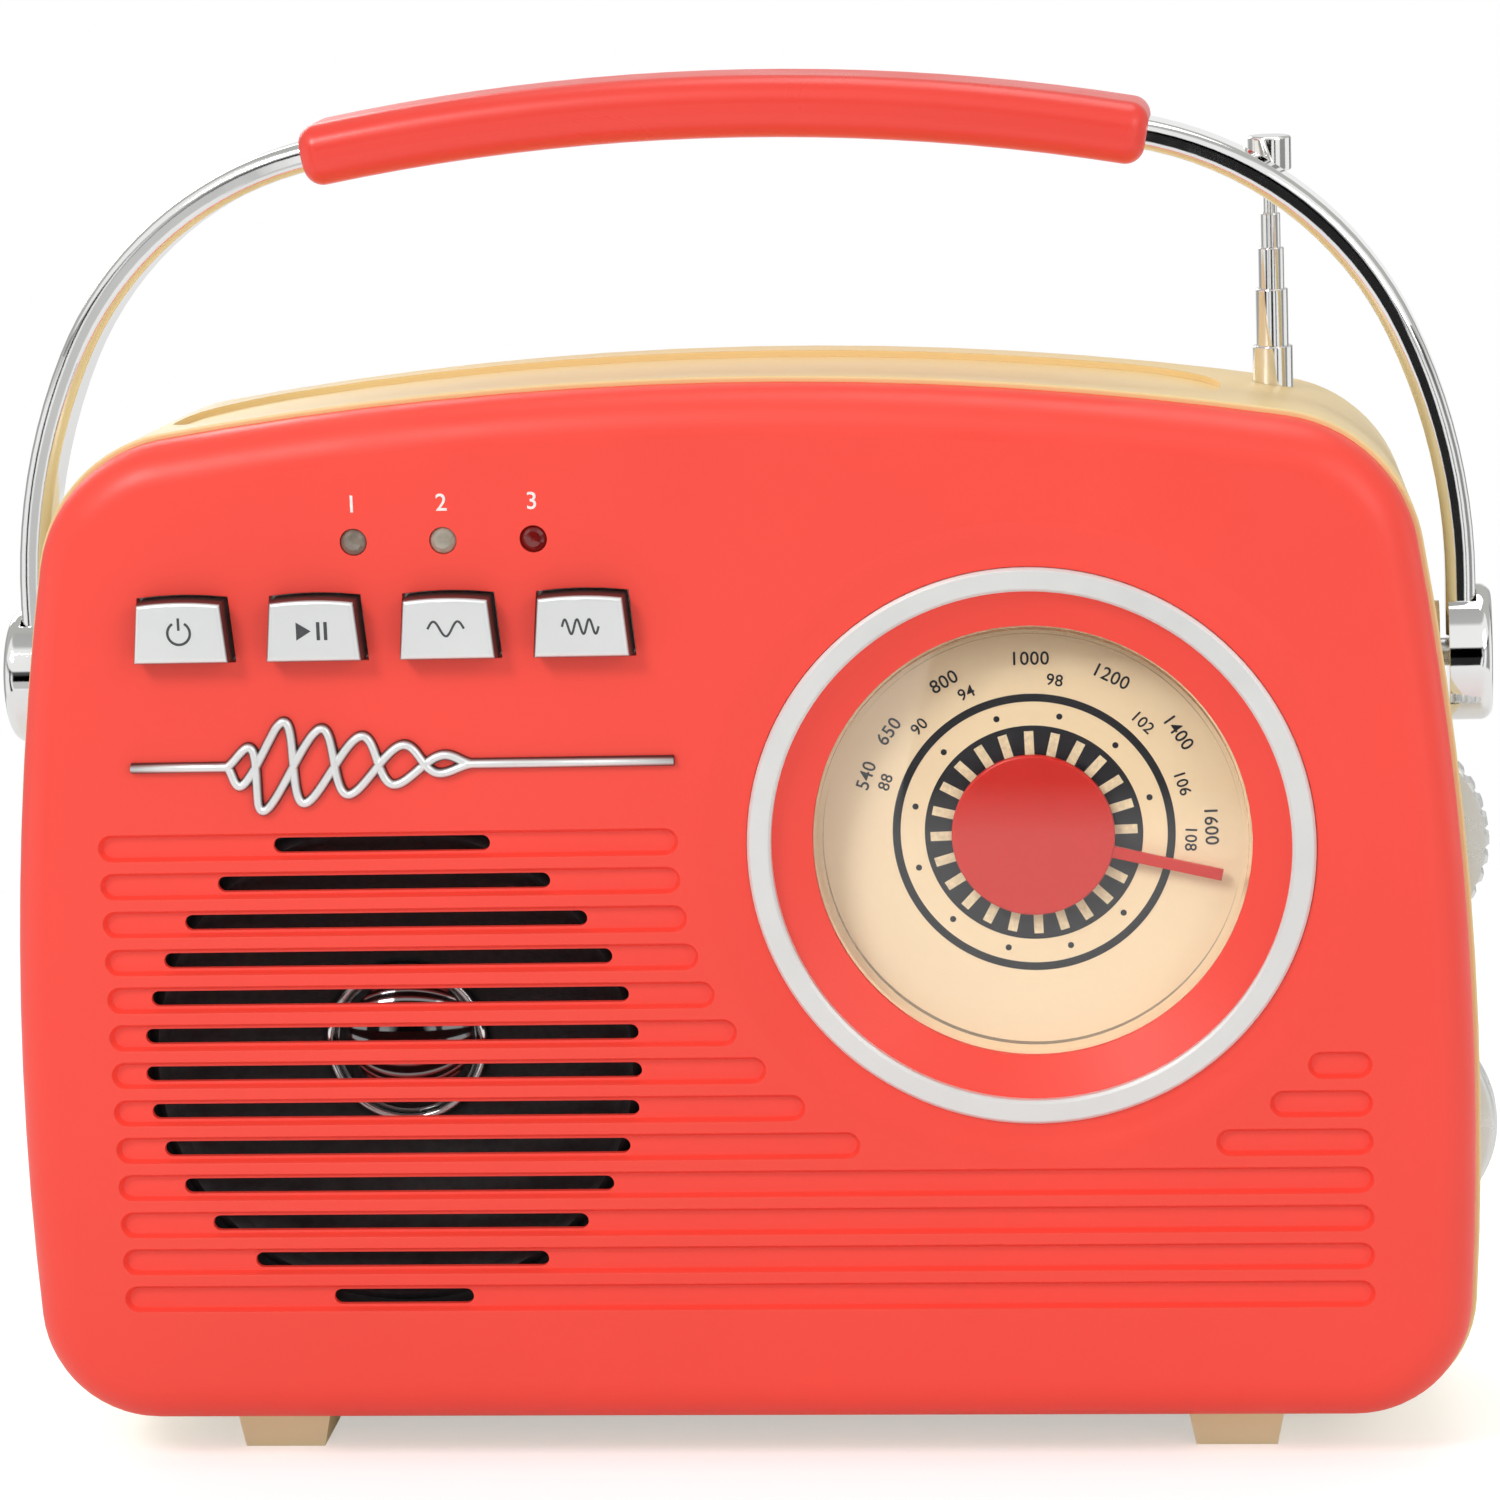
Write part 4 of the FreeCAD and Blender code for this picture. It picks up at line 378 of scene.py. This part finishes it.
def plain_finish(name, colour, roughness, coat=0.0, scale=400.0, depth=0.01, index=1.5):
    """Plastic, paper, foam or cord with a coarse mottle."""
    material, tree, shader = new_material(name)
    body = between(tree, drift(tree, scale), shade(colour, 0.75), shade(colour, 1.35))
    tree.links.new(body, shader.inputs["Base Color"])
    gloss = drift(tree, scale / 3, roughness * 0.8, roughness * 1.2)
    tree.links.new(gloss, shader.inputs["Roughness"])
    shader.inputs["Coat Weight"].default_value = coat
    shader.inputs["IOR"].default_value = index
    bumped(tree, shader, noise(tree, scale * 2, 2.0), depth * MM)
    return material


def lens_clear(name):
    """A clear moulded lens that lets the lamps through to the dial."""
    material, tree, shader = new_material(name)
    shader.inputs["Base Color"].default_value = (*LENS_TINT, 1)
    shader.inputs["Transmission Weight"].default_value = 1.0
    shader.inputs["IOR"].default_value = 1.49
    tree.links.new(drift(tree, 120.0, 0.0, 0.03, detail=4.0), shader.inputs["Roughness"])
    bumped(tree, shader, noise(tree, 12.0, 1.0), 0.02 * MM)
    path = add(tree, "ShaderNodeLightPath")
    clear = add(tree, "ShaderNodeBsdfTransparent")
    show(tree, path.outputs["Is Shadow Ray"], shader.outputs["BSDF"], clear.outputs["BSDF"])
    return material


def dial_card(name):
    """The printed cream dial: a slow warm gradient round one point, and a fine print grain."""
    material, tree, shader = new_material(name)
    coords = add(tree, "ShaderNodeTexCoord")
    right, up = DIAL_GLOW_OFFSET
    offset = add(tree, "ShaderNodeVectorMath", "DISTANCE")
    offset.inputs[1].default_value = (DIAL.x + right, PLATE_Y, DIAL.z + up)
    tree.links.new(coords.outputs["Object"], offset.inputs[0])
    spread = mapped(tree, offset.outputs["Value"], 0.0, 1.0, *DIAL_GLOW_SPREAD)
    warm = between(tree, spread, DIAL_INNER_TONE, DIAL_OUTER_TONE)
    speck = between(tree, drift(tree, 900.0, detail=2.0), SPECK_TONE, WHITE)
    tree.links.new(between(tree, 1.0, warm, speck, "MULTIPLY"), shader.inputs["Base Color"])
    tree.links.new(drift(tree, 300.0, 0.38, 0.48, detail=2.0), shader.inputs["Roughness"])
    bumped(tree, shader, noise(tree, 1500.0, 2.0), 0.004 * MM)
    return material


def ink(name, colour):
    """Printing ink, a little uneven."""
    material, tree, shader = new_material(name)
    body = between(tree, drift(tree, 1200.0), shade(colour, 0.85), shade(colour, 1.1))
    tree.links.new(body, shader.inputs["Base Color"])
    tree.links.new(drift(tree, 700.0, 0.45, 0.55, detail=2.0), shader.inputs["Roughness"])
    return material


def lamp_glass(name, colour, transmission):
    """A small tinted indicator lamp."""
    material, tree, shader = new_material(name)
    tint = between(tree, drift(tree, 500.0, detail=2.0), shade(colour, 0.8), shade(colour, 1.15))
    tree.links.new(tint, shader.inputs["Base Color"])
    tree.links.new(drift(tree, 300.0, 0.08, 0.16, detail=2.0), shader.inputs["Roughness"])
    shader.inputs["Transmission Weight"].default_value = transmission
    shader.inputs["Coat Weight"].default_value = 0.6
    return material


def laminate(name, colour):
    """Circuit board: green mask over faint copper tracks."""
    material, tree, shader = new_material(name)
    brick = add(tree, "ShaderNodeTexBrick", Scale=160.0, Mortar_Size=0.03)
    for socket, tint in (("Color1", colour), ("Color2", shade(colour, 0.8)),
                         ("Mortar", shade(colour, 1.8))):
        brick.inputs[socket].default_value = (*tint, 1)
    tree.links.new(object_place(tree), brick.inputs["Vector"])
    tree.links.new(brick.outputs["Color"], shader.inputs["Base Color"])
    tree.links.new(drift(tree, 200.0, 0.3, 0.42), shader.inputs["Roughness"])
    return material


RED = (0.97, 0.066, 0.042)
CREAM = (0.87, 0.67, 0.32)

# Each finish: the function that makes it, and what that is told. Depths are in millimetres.
FINISHES = {
    "red_case": (moulded, dict(colour=RED)),
    "cream_case": (moulded, dict(colour=CREAM, roughness=0.38, grain=0.012, grain_scale=1500.0,
                                 wander=0.025, edge=1.05)),
    # painted light: the feet are a paler cream than the case, to make up for the shade under the
    # body
    "cream_feet": (moulded, dict(colour=(0.98, 0.90, 0.58), roughness=0.45)),
    "grip_red": (moulded, dict(colour=(0.86, 0.058, 0.04), roughness=0.30, grain=0.01,
                               grain_scale=1200.0, wander=0.035, edge=1.1)),
    "silver_ring": (plated, dict(colour=(0.84, 0.85, 0.83), roughness=0.42, haze=0.05,
                                 ripple=0.002, metallic=0.45)),
    # the dark red-brown on the sides of the keys and the trim is painted shade
    "silver_button": (plated, dict(colour=(0.86, 0.88, 0.87), roughness=0.38, haze=0.04,
                                   ripple=0.001, metallic=0.55, flank_shade=(0.10, 0.055, 0.05))),
    "silver_wheel": (plated, dict(colour=(0.80, 0.81, 0.80), roughness=0.30, haze=0.06,
                                  ripple=0.003, metallic=0.6)),
    "chrome": (plated, dict(colour=(0.86, 0.86, 0.85), roughness=0.05, haze=0.025, ripple=0.002)),
    "steel": (plated, dict(colour=(0.62, 0.62, 0.63), roughness=0.28, haze=0.08,
                           streak=(1, 1, 12))),
    "clear_lens": (lens_clear, {}),
    "dial_print": (dial_card, {}),
    "dark_plastic": (plain_finish, dict(colour=(0.04, 0.04, 0.043), roughness=0.4)),
    "black_parts": (plain_finish, dict(colour=(0.02, 0.02, 0.021), roughness=0.5)),
    "ferrite": (plain_finish, dict(colour=(0.05, 0.05, 0.052), roughness=0.6)),
    "foam": (plain_finish, dict(colour=(0.035, 0.035, 0.035), roughness=0.9, scale=900.0,
                                depth=0.2)),
    "paper_cone": (plain_finish, dict(colour=(0.018, 0.018, 0.02), roughness=0.6, scale=700.0,
                                      depth=0.05)),
    "dust_cap": (plain_finish, dict(colour=(0.012, 0.010, 0.011), roughness=0.08, coat=1.0,
                                    scale=60.0, depth=0.004, index=2.6)),
    "pointer_red": (moulded, dict(colour=(0.66, 0.02, 0.012), roughness=0.35, grain=0.003,
                                  grain_scale=900.0, wander=0.02, edge=1.02)),
    "cord": (plain_finish, dict(colour=(0.60, 0.56, 0.44), roughness=0.8, scale=2500.0,
                                depth=0.1)),
    "board_green": (laminate, dict(colour=(0.03, 0.13, 0.06))),
    "copper": (plated, dict(colour=(0.72, 0.34, 0.16), roughness=0.3, haze=0.08, ripple=0.01,
                            streak=(12, 1, 1))),
    "cell_jacket": (moulded, dict(colour=(0.04, 0.05, 0.08), roughness=0.3, grain=0.004,
                                  grain_scale=900.0, wander=0.08, edge=1.0)),
    "lamp_grey": (lamp_glass, dict(colour=(0.36, 0.30, 0.24), transmission=0.35)),
    "lamp_clear": (lamp_glass, dict(colour=(0.62, 0.56, 0.45), transmission=0.35)),
    "lamp_red": (lamp_glass, dict(colour=(0.22, 0.008, 0.008), transmission=0.2)),
    "ink_black": (ink, dict(colour=(0.012, 0.013, 0.018))),
    "ink_grey": (ink, dict(colour=(0.06, 0.065, 0.07))),
    "ink_cream": (ink, dict(colour=(0.93, 0.76, 0.50))),
    "ink_white": (ink, dict(colour=(0.93, 0.88, 0.85))),
}
MATERIALS = {name: make(name, **values) for name, (make, values) in FINISHES.items()}

FINISH_OF_NODE = {
    "red_case": ["front_shell"],
    "cream_case": ["rear_shell", "battery_door"],
    "cream_feet": ["feet"],
    "grip_red": ["handle_grip"],
    "silver_ring": ["dial_ring"],
    "silver_button": BUTTONS + ["trim_scroll"],
    "silver_wheel": ["tuning_wheel", "volume_wheel"],
    "chrome": ["handle_strap", "handle_hub_left", "handle_hub_right", "aerial_section_1",
               "aerial_section_2", "aerial_section_3", "aerial_section_4", "aerial_section_5",
               "aerial_cap"],
    "steel": ["case_screws", "dial_screws", "control_board_screws", "main_board_screws",
              "speaker_screws", "speaker_magnet", "speaker_basket", "pointer_shaft", "tuning_shaft",
              "volume_shaft", "handle_bolt_left", "handle_bolt_right", "battery_contacts",
              "audio_jack"],
    "clear_lens": ["dial_lens"],
    "dial_print": ["dial_plate"],
    "dark_plastic": ["dial_carrier", "pointer_pulley", "rod_clips", "power_jack"],
    "black_parts": ["switches", "board_parts", "volume_control", "tuning_capacitor"],
    "ferrite": ["ferrite_rod"],
    "foam": ["speaker_gasket"],
    "paper_cone": ["speaker_cone"],
    "dust_cap": ["speaker_dust_cap"],
    "pointer_red": ["pointer"],
    "cord": ["drive_cord"],
    "board_green": ["control_board", "main_board"],
    "copper": ["ferrite_coil", "speaker_voice_coil"],
    "cell_jacket": ["batteries"],
    "lamp_grey": ["lamp_1"],
    "lamp_clear": ["lamp_2"],
    "lamp_red": ["lamp_3"],
}


def finish_nodes():
    """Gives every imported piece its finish."""
    for name, nodes in FINISH_OF_NODE.items():
        for node in nodes:
            slots = NODES[node].material_slots
            if not slots:
                NODES[node].data.materials.append(MATERIALS[name])
            for entry in slots:
                entry.material = MATERIALS[name]


# ---------------------------------------------------------------- mesh helpers

def new_object(name, data):
    """An object in the scene that holds some data."""
    thing = bpy.data.objects.new(name, data)
    bpy.context.scene.collection.objects.link(thing)
    return thing


def make_piece(name, bm, material, body, smooth=False):
    """A mesh object from a bmesh, riding on a body."""
    mesh = bpy.data.meshes.new(name)
    bmesh.ops.recalc_face_normals(bm, faces=bm.faces)
    bm.to_mesh(mesh)
    bm.free()
    for polygon in mesh.polygons:
        polygon.use_smooth = smooth
    piece = new_object(name, mesh)
    mesh.materials.append(MATERIALS[material])
    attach(piece, body)
    return piece


def skin(bm, rows, closed=False):
    """Faces from each row of vertices to the next, then back to the first row or over both ends."""
    for a, b in zip(rows, rows[1:] + rows[:1] if closed else rows[1:]):
        for i in range(len(a)):
            n = (i + 1) % len(a)
            bm.faces.new((a[i], a[n], b[n], b[i]))
    if not closed:
        bm.faces.new(rows[0])
        bm.faces.new(list(reversed(rows[-1])))


def left_of(points, closed=False):
    """The unit direction to the left of a line at each of its (x, z) points."""
    count = len(points)
    result = []
    for k in range(count):
        before = points[k - 1] if closed or k > 0 else points[k]
        after = points[(k + 1) % count] if closed or k < count - 1 else points[k]
        along = Vector((after[0] - before[0], after[1] - before[1])).normalized()
        result.append(Vector((-along.y, along.x)))
    return result


def round_points(x, z, radius, count, start=0.0, turn=360.0):
    """Points on an arc in an XZ plane, from a start angle through a turn, both in degrees."""
    steps = count if turn == 360.0 else count - 1
    angles = [math.radians(start + turn * k / steps) for k in range(count)]
    return [(x + radius * math.cos(a), z + radius * math.sin(a)) for a in angles]


def print_front(y):
    """The front of a print on a face at y."""
    return y - PRINT_THICKNESS + PRINT_SUNK


def slab(bm, outline, y):
    """A print with its front at y, from an outline of (x, z) points."""
    skin(bm, [[bm.verts.new((x, depth, z)) for x, z in outline]
              for depth in (y, y + PRINT_THICKNESS)])


def band(bm, points, width, y, closed=False):
    """A printed strip of even width along (x, z) points, with its front at y."""
    back = y + PRINT_THICKNESS
    rows = []
    for (x, z), left in zip(points, left_of(points, closed)):
        off = left * width / 2
        rows.append([bm.verts.new((x + way * off.x, depth, z + way * off.y))
                     for way, depth in ((1, y), (-1, y), (-1, back), (1, back))])
    skin(bm, rows, closed)


def add_text(bm, words, height, face_y, matrix):
    """Printed words on a face at face_y, turned and moved in its plane by a matrix."""
    curve = bpy.data.curves.new("words", "FONT")
    curve.body = words
    curve.size = height / CAPITAL_HEIGHT
    curve.align_x = "CENTER"
    curve.align_y = "CENTER"
    curve.space_character = LETTER_SPACING
    curve.extrude = PRINT_THICKNESS / 2
    curve.offset = PRINT_BOLD
    curve.resolution_u = LETTER_RESOLUTION
    holder = new_object("words", curve)
    bpy.context.view_layer.update()
    ready = holder.evaluated_get(bpy.context.evaluated_depsgraph_get())
    mesh = bpy.data.meshes.new_from_object(ready)
    depth = Matrix.Translation(Vector((0, print_front(face_y) + PRINT_THICKNESS / 2, 0)))
    mesh.transform(depth @ matrix @ UPRIGHT)
    bm.from_mesh(mesh)
    bpy.data.objects.remove(holder)
    bpy.data.curves.remove(curve)
    bpy.data.meshes.remove(mesh)


# ---------------------------------------------------------------- dial

def dial_scale():
    """The black circle line, the black band and the ring of dots."""
    bm = bmesh.new()
    y = print_front(PLATE_Y)
    for radius, width, count in (DIAL_LINE, DIAL_BAND):
        band(bm, round_points(DIAL.x, DIAL.z, radius, count), width, y, True)
    for x, z in round_points(DIAL.x, DIAL.z, DOT_CIRCLE_RADIUS, DOT_COUNT, DOT_START):
        slab(bm, round_points(x, z, DOT_RADIUS, DOT_POINTS), y)
    make_piece("dial_scale", bm, "ink_black", "case")


def dial_ticks():
    """The cream bars on the black band."""
    bm = bmesh.new()
    y = print_front(PLATE_Y) - SECOND_PRINT
    inner, outer = (round_points(DIAL.x, DIAL.z, radius, TICK_COUNT, DOT_START)
                    for radius in TICK_REACH)
    for ends in zip(inner, outer):
        band(bm, ends, TICK_WIDTH, y)
    make_piece("dial_ticks", bm, "ink_cream", "case")


def dial_numbers():
    """Plain numbers on two arcs."""
    bm = bmesh.new()
    for radius, height, numbers in (OUTER_ROW, INNER_ROW):
        for number, degrees in numbers.items():
            angle = math.radians(degrees)
            spot = Vector((DIAL.x + radius * math.cos(angle), 0, DIAL.z + radius * math.sin(angle)))
            turn = Matrix.Rotation(math.pi / 2 - angle, 4, "Y")
            add_text(bm, number, height, PLATE_Y, Matrix.Translation(spot) @ turn)
    make_piece("dial_numbers", bm, "ink_black", "case")


# ---------------------------------------------------------------- prints on the front

def power_sign(bm, x, z, y):
    """A ring that is open at the top, with a stem in the gap."""
    start, turn = POWER_ARC
    band(bm, round_points(x, z, POWER_RADIUS, POWER_POINTS, start, turn), POWER_WIDTH, y)
    band(bm, [(x, z + reach) for reach in POWER_STEM], POWER_WIDTH, y)


def play_sign(bm, x, z, y):
    """A triangle and two bars."""
    low, high = z - PLAY_HALF_HEIGHT, z + PLAY_HALF_HEIGHT
    base, tip = PLAY_SPAN
    slab(bm, [(x + base, low), (x + tip, z), (x + base, high)], y)
    for off in PAUSE_BARS:
        band(bm, [(x + off, low), (x + off, high)], PAUSE_WIDTH, y)


def wave_sign(bm, x, z, y, cycles):
    """A sine wave of some cycles."""
    points = []
    for k in range(WAVE_STEPS + 1):
        t = k / WAVE_STEPS
        points.append((x + WAVE_HALF_LENGTH * (2 * t - 1),
                       z + WAVE_HEIGHT * math.sin(2 * math.pi * cycles * t)))
    band(bm, points, WAVE_WIDTH, y)


def button_signs():
    """A plain printed sign on each key: power, play and pause, a slow wave and a quick wave."""
    signs = [power_sign, play_sign, partial(wave_sign, cycles=SLOW_CYCLES),
             partial(wave_sign, cycles=QUICK_CYCLES)]
    for name, sign in zip(BUTTONS, signs):
        bm = bmesh.new()
        spot = middle(name)
        sign(bm, spot.x, spot.z, print_front(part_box(name)[0].y))
        make_piece(name + "_sign", bm, "ink_grey", name)


def lamp_numbers():
    """A plain number above each lamp."""
    bm = bmesh.new()
    for number, name in enumerate(LAMPS, 1):
        spot = middle(name)
        lift = Matrix.Translation(Vector((spot.x, 0, spot.z + LAMP_NUMBER_LIFT)))
        add_text(bm, str(number), LAMP_NUMBER_HEIGHT, PANEL_Y, lift)
    make_piece("lamp_numbers", bm, "ink_white", "case")


# ---------------------------------------------------------------- trim and speaker bead

def strand_points(side):
    """One strand of the trim as (x, z): it sways about the bar's line, less and less."""
    low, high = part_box("trim_scroll")
    start = low.x + TRIM_HALF
    first = start + STRAND_START
    points = [(start, TRIM_Z), (first - STRAND_LEAD, TRIM_Z)]
    for k in range(STRAND_STEPS + 1):
        t = k / STRAND_STEPS
        size = STRAND_SWAY * (1 - t) ** STRAND_FADE * min(1.0, STRAND_OPENING * t)
        sway = side * size * math.sin(math.pi * STRAND_LOOPS * t ** STRAND_CROWDING)
        points.append((first + STRAND_LENGTH * t + STRAND_SLANT * sway, TRIM_Z + sway))
    return points + [(first + STRAND_LENGTH + STRAND_LEAD, TRIM_Z), (high.x - TRIM_HALF, TRIM_Z)]


def rounded_rod(bm, points, half, rise):
    """A flat-backed rod with a rounded front that follows (x, z) points on the panel."""
    angles = [math.pi * k / TRIM_FACETS for k in range(TRIM_FACETS + 1)]
    profile = [(half * math.cos(a), rise * math.sin(a)) for a in angles]
    rows = [[bm.verts.new((x + left.x * a, PANEL_Y - b, z + left.y * a)) for a, b in profile]
            for (x, z), left in zip(points, left_of(points))]
    skin(bm, rows)


def trim_flourish():
    """Two rounded strands that cross along the middle of a bar."""
    bm = bmesh.new()
    for side, rise in ((1, TRIM_RISE), (-1, BACK_STRAND_RISE)):
        rounded_rod(bm, strand_points(side), TRIM_HALF, rise)
    piece = make_piece("trim_flourish", bm, "silver_button", "case", True)
    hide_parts("trim_scroll")


def dust_cap_ring():
    """A thin glossy bead round the speaker's dust cap."""
    low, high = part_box("speaker_dust_cap")
    centre = middle("speaker_dust_cap")
    radius = (high.x - low.x) / 2 + BEAD_OUT
    y = high.y - BEAD_FORWARD
    section = round_points(0, 0, BEAD_RADIUS, BEAD_SIDES)
    bm = bmesh.new()
    rows = []
    for k in range(BEAD_STEPS):
        angle = 2 * math.pi * k / BEAD_STEPS
        rows.append([bm.verts.new((centre.x + (radius + out) * math.cos(angle), y - forward,
                                   centre.z + (radius + out) * math.sin(angle)))
                     for out, forward in section])
    skin(bm, rows, True)
    make_piece("dust_cap_ring", bm, "chrome", "case", True)


# ---------------------------------------------------------------- stage

def make_camera():
    """The camera at the photographed angle."""
    yaw, pitch, roll = (math.radians(a) for a in CAMERA_ANGLES)
    forward = Vector((-math.sin(yaw) * math.cos(pitch), math.cos(yaw) * math.cos(pitch),
                      -math.sin(pitch)))
    level = forward.cross(Vector((0, 0, 1))).normalized()
    upward = level.cross(forward)
    right = math.cos(roll) * level - math.sin(roll) * upward
    up = math.sin(roll) * level + math.cos(roll) * upward
    data = bpy.data.cameras.new("camera")
    data.sensor_width = CAMERA_SENSOR
    data.lens = CAMERA_LENS
    data.clip_start, data.clip_end = CAMERA_CLIP
    camera = new_object("camera", data)
    turn = Matrix((right, up, -forward)).transposed().to_4x4()
    camera.matrix_world = Matrix.Translation(Vector(CAMERA_PLACE)) @ turn
    bpy.context.scene.camera = camera


def area_lamp(name, spot, size, power):
    """A soft square lamp that points at the radio."""
    data = bpy.data.lights.new(name, "AREA")
    data.size = size
    data.energy = power
    lamp = new_object(name, data)
    lamp.location = spot
    lamp.rotation_mode = "QUATERNION"
    lamp.rotation_quaternion = (Vector(AIM) - Vector(spot)).to_track_quat("-Z", "Y")


def sectors(tree, parts):
    """The tone of the sector that a direction or a place lies in, from its X and Y."""
    front = maths(tree, "MULTIPLY", parts["Y"], -1.0)
    angle = maths(tree, "ARCTAN2", parts["X"], front)
    share = mapped(tree, angle, 0.0, 1.0, -math.pi, math.pi)
    stops = [(degrees / 360 + 0.5, tone) for degrees, tone in SECTORS]
    return tones(tree, share, stops, "CONSTANT")


def make_world():
    """A sky that is white to the camera and through glass, and a softer white as a lamp.

    Metal sees the sectors low down, SKY_TONES above them and straight ahead, and grey behind.
    """
    world = bpy.data.worlds.new("studio")
    bpy.context.scene.world = world
    world.use_nodes = True
    tree = world.node_tree
    path = add(tree, "ShaderNodeLightPath").outputs
    parts = split(tree, add(tree, "ShaderNodeTexCoord").outputs["Generated"])
    sky = between(tree, mapped(tree, parts["Y"], 0.0, 1.0, *BACK_EDGE),
                  tones(tree, parts["Z"], SKY_TONES, "LINEAR"), SKY_BEHIND)
    beside = maths(tree, "MULTIPLY", mapped(tree, parts["Z"], 1.0, 0.0, *SECTOR_TOP),
                   mapped(tree, parts["Y"], 0.0, 1.0, *STRAIGHT_AHEAD))
    mirror = add(tree, "ShaderNodeBackground")
    feed(tree, between(tree, beside, sky, sectors(tree, parts)), mirror.inputs["Color"])
    seen = maths(tree, "MAXIMUM", path["Is Camera Ray"], path["Is Transmission Ray"])
    plain = tree.nodes["Background"]
    plain.inputs["Color"].default_value = (*WHITE, 1)
    feed(tree, mapped(tree, seen, WORLD_LIGHT, 1.0, 0.0, 1.0), plain.inputs["Strength"])
    show(tree, path["Is Glossy Ray"], plain.outputs["Background"], mirror.outputs["Background"],
         "World Output")


def floor_finish():
    """Pale and shadowed near the radio; far away plain white, with the sectors for metal."""
    material, tree, shader = new_material("floor")
    shader.inputs["Base Color"].default_value = grey(FLOOR_TONE)
    shader.inputs["Roughness"].default_value = 0.9
    shader.inputs["Specular IOR Level"].default_value = 0.1
    path = add(tree, "ShaderNodeLightPath").outputs
    glow = add(tree, "ShaderNodeEmission")
    feed(tree, mapped(tree, path["Is Camera Ray"], 0.0, FLOOR_LIFT, 0.0, 1.0),
         glow.inputs["Strength"])
    near = add(tree, "ShaderNodeAddShader")
    tree.links.new(shader.outputs["BSDF"], near.inputs[0])
    tree.links.new(glow.outputs["Emission"], near.inputs[1])
    spot = add(tree, "ShaderNodeTexCoord").outputs["Object"]
    length = add(tree, "ShaderNodeVectorMath", "LENGTH")
    tree.links.new(spot, length.inputs[0])
    distance = length.outputs["Value"]
    mirrored = between(tree, mapped(tree, distance, 0.0, 1.0, *FLOOR_SECTORS), MIRRORED_FLOOR,
                       sectors(tree, split(tree, spot)))
    far = add(tree, "ShaderNodeEmission", Strength=1.0)
    feed(tree, between(tree, path["Is Glossy Ray"], WHITE, mirrored), far.inputs["Color"])
    show(tree, mapped(tree, distance, 0.0, 1.0, *FLOOR_FADE), near.outputs["Shader"],
         far.outputs["Emission"])
    return material


def make_floor():
    """A wide flat floor under the feet."""
    bm = bmesh.new()
    corners = ((-1, -1), (1, -1), (1, 1), (-1, 1))
    bm.faces.new([bm.verts.new((x * FLOOR_REACH, y * FLOOR_REACH, 0)) for x, y in corners])
    mesh = bpy.data.meshes.new("floor")
    bm.to_mesh(mesh)
    bm.free()
    mesh.materials.append(floor_finish())
    new_object("floor", mesh)


# ---------------------------------------------------------------- everything

finish_nodes()
dial_scale()
dial_ticks()
dial_numbers()
button_signs()
lamp_numbers()
trim_flourish()
dust_cap_ring()
make_camera()
make_world()
make_floor()
for lamp_name, (lamp_place, lamp_size, lamp_power) in STUDIO_LAMPS.items():
    area_lamp(lamp_name, lamp_place, lamp_size, lamp_power)

scene = bpy.context.scene
scene.view_settings.view_transform = "Standard"
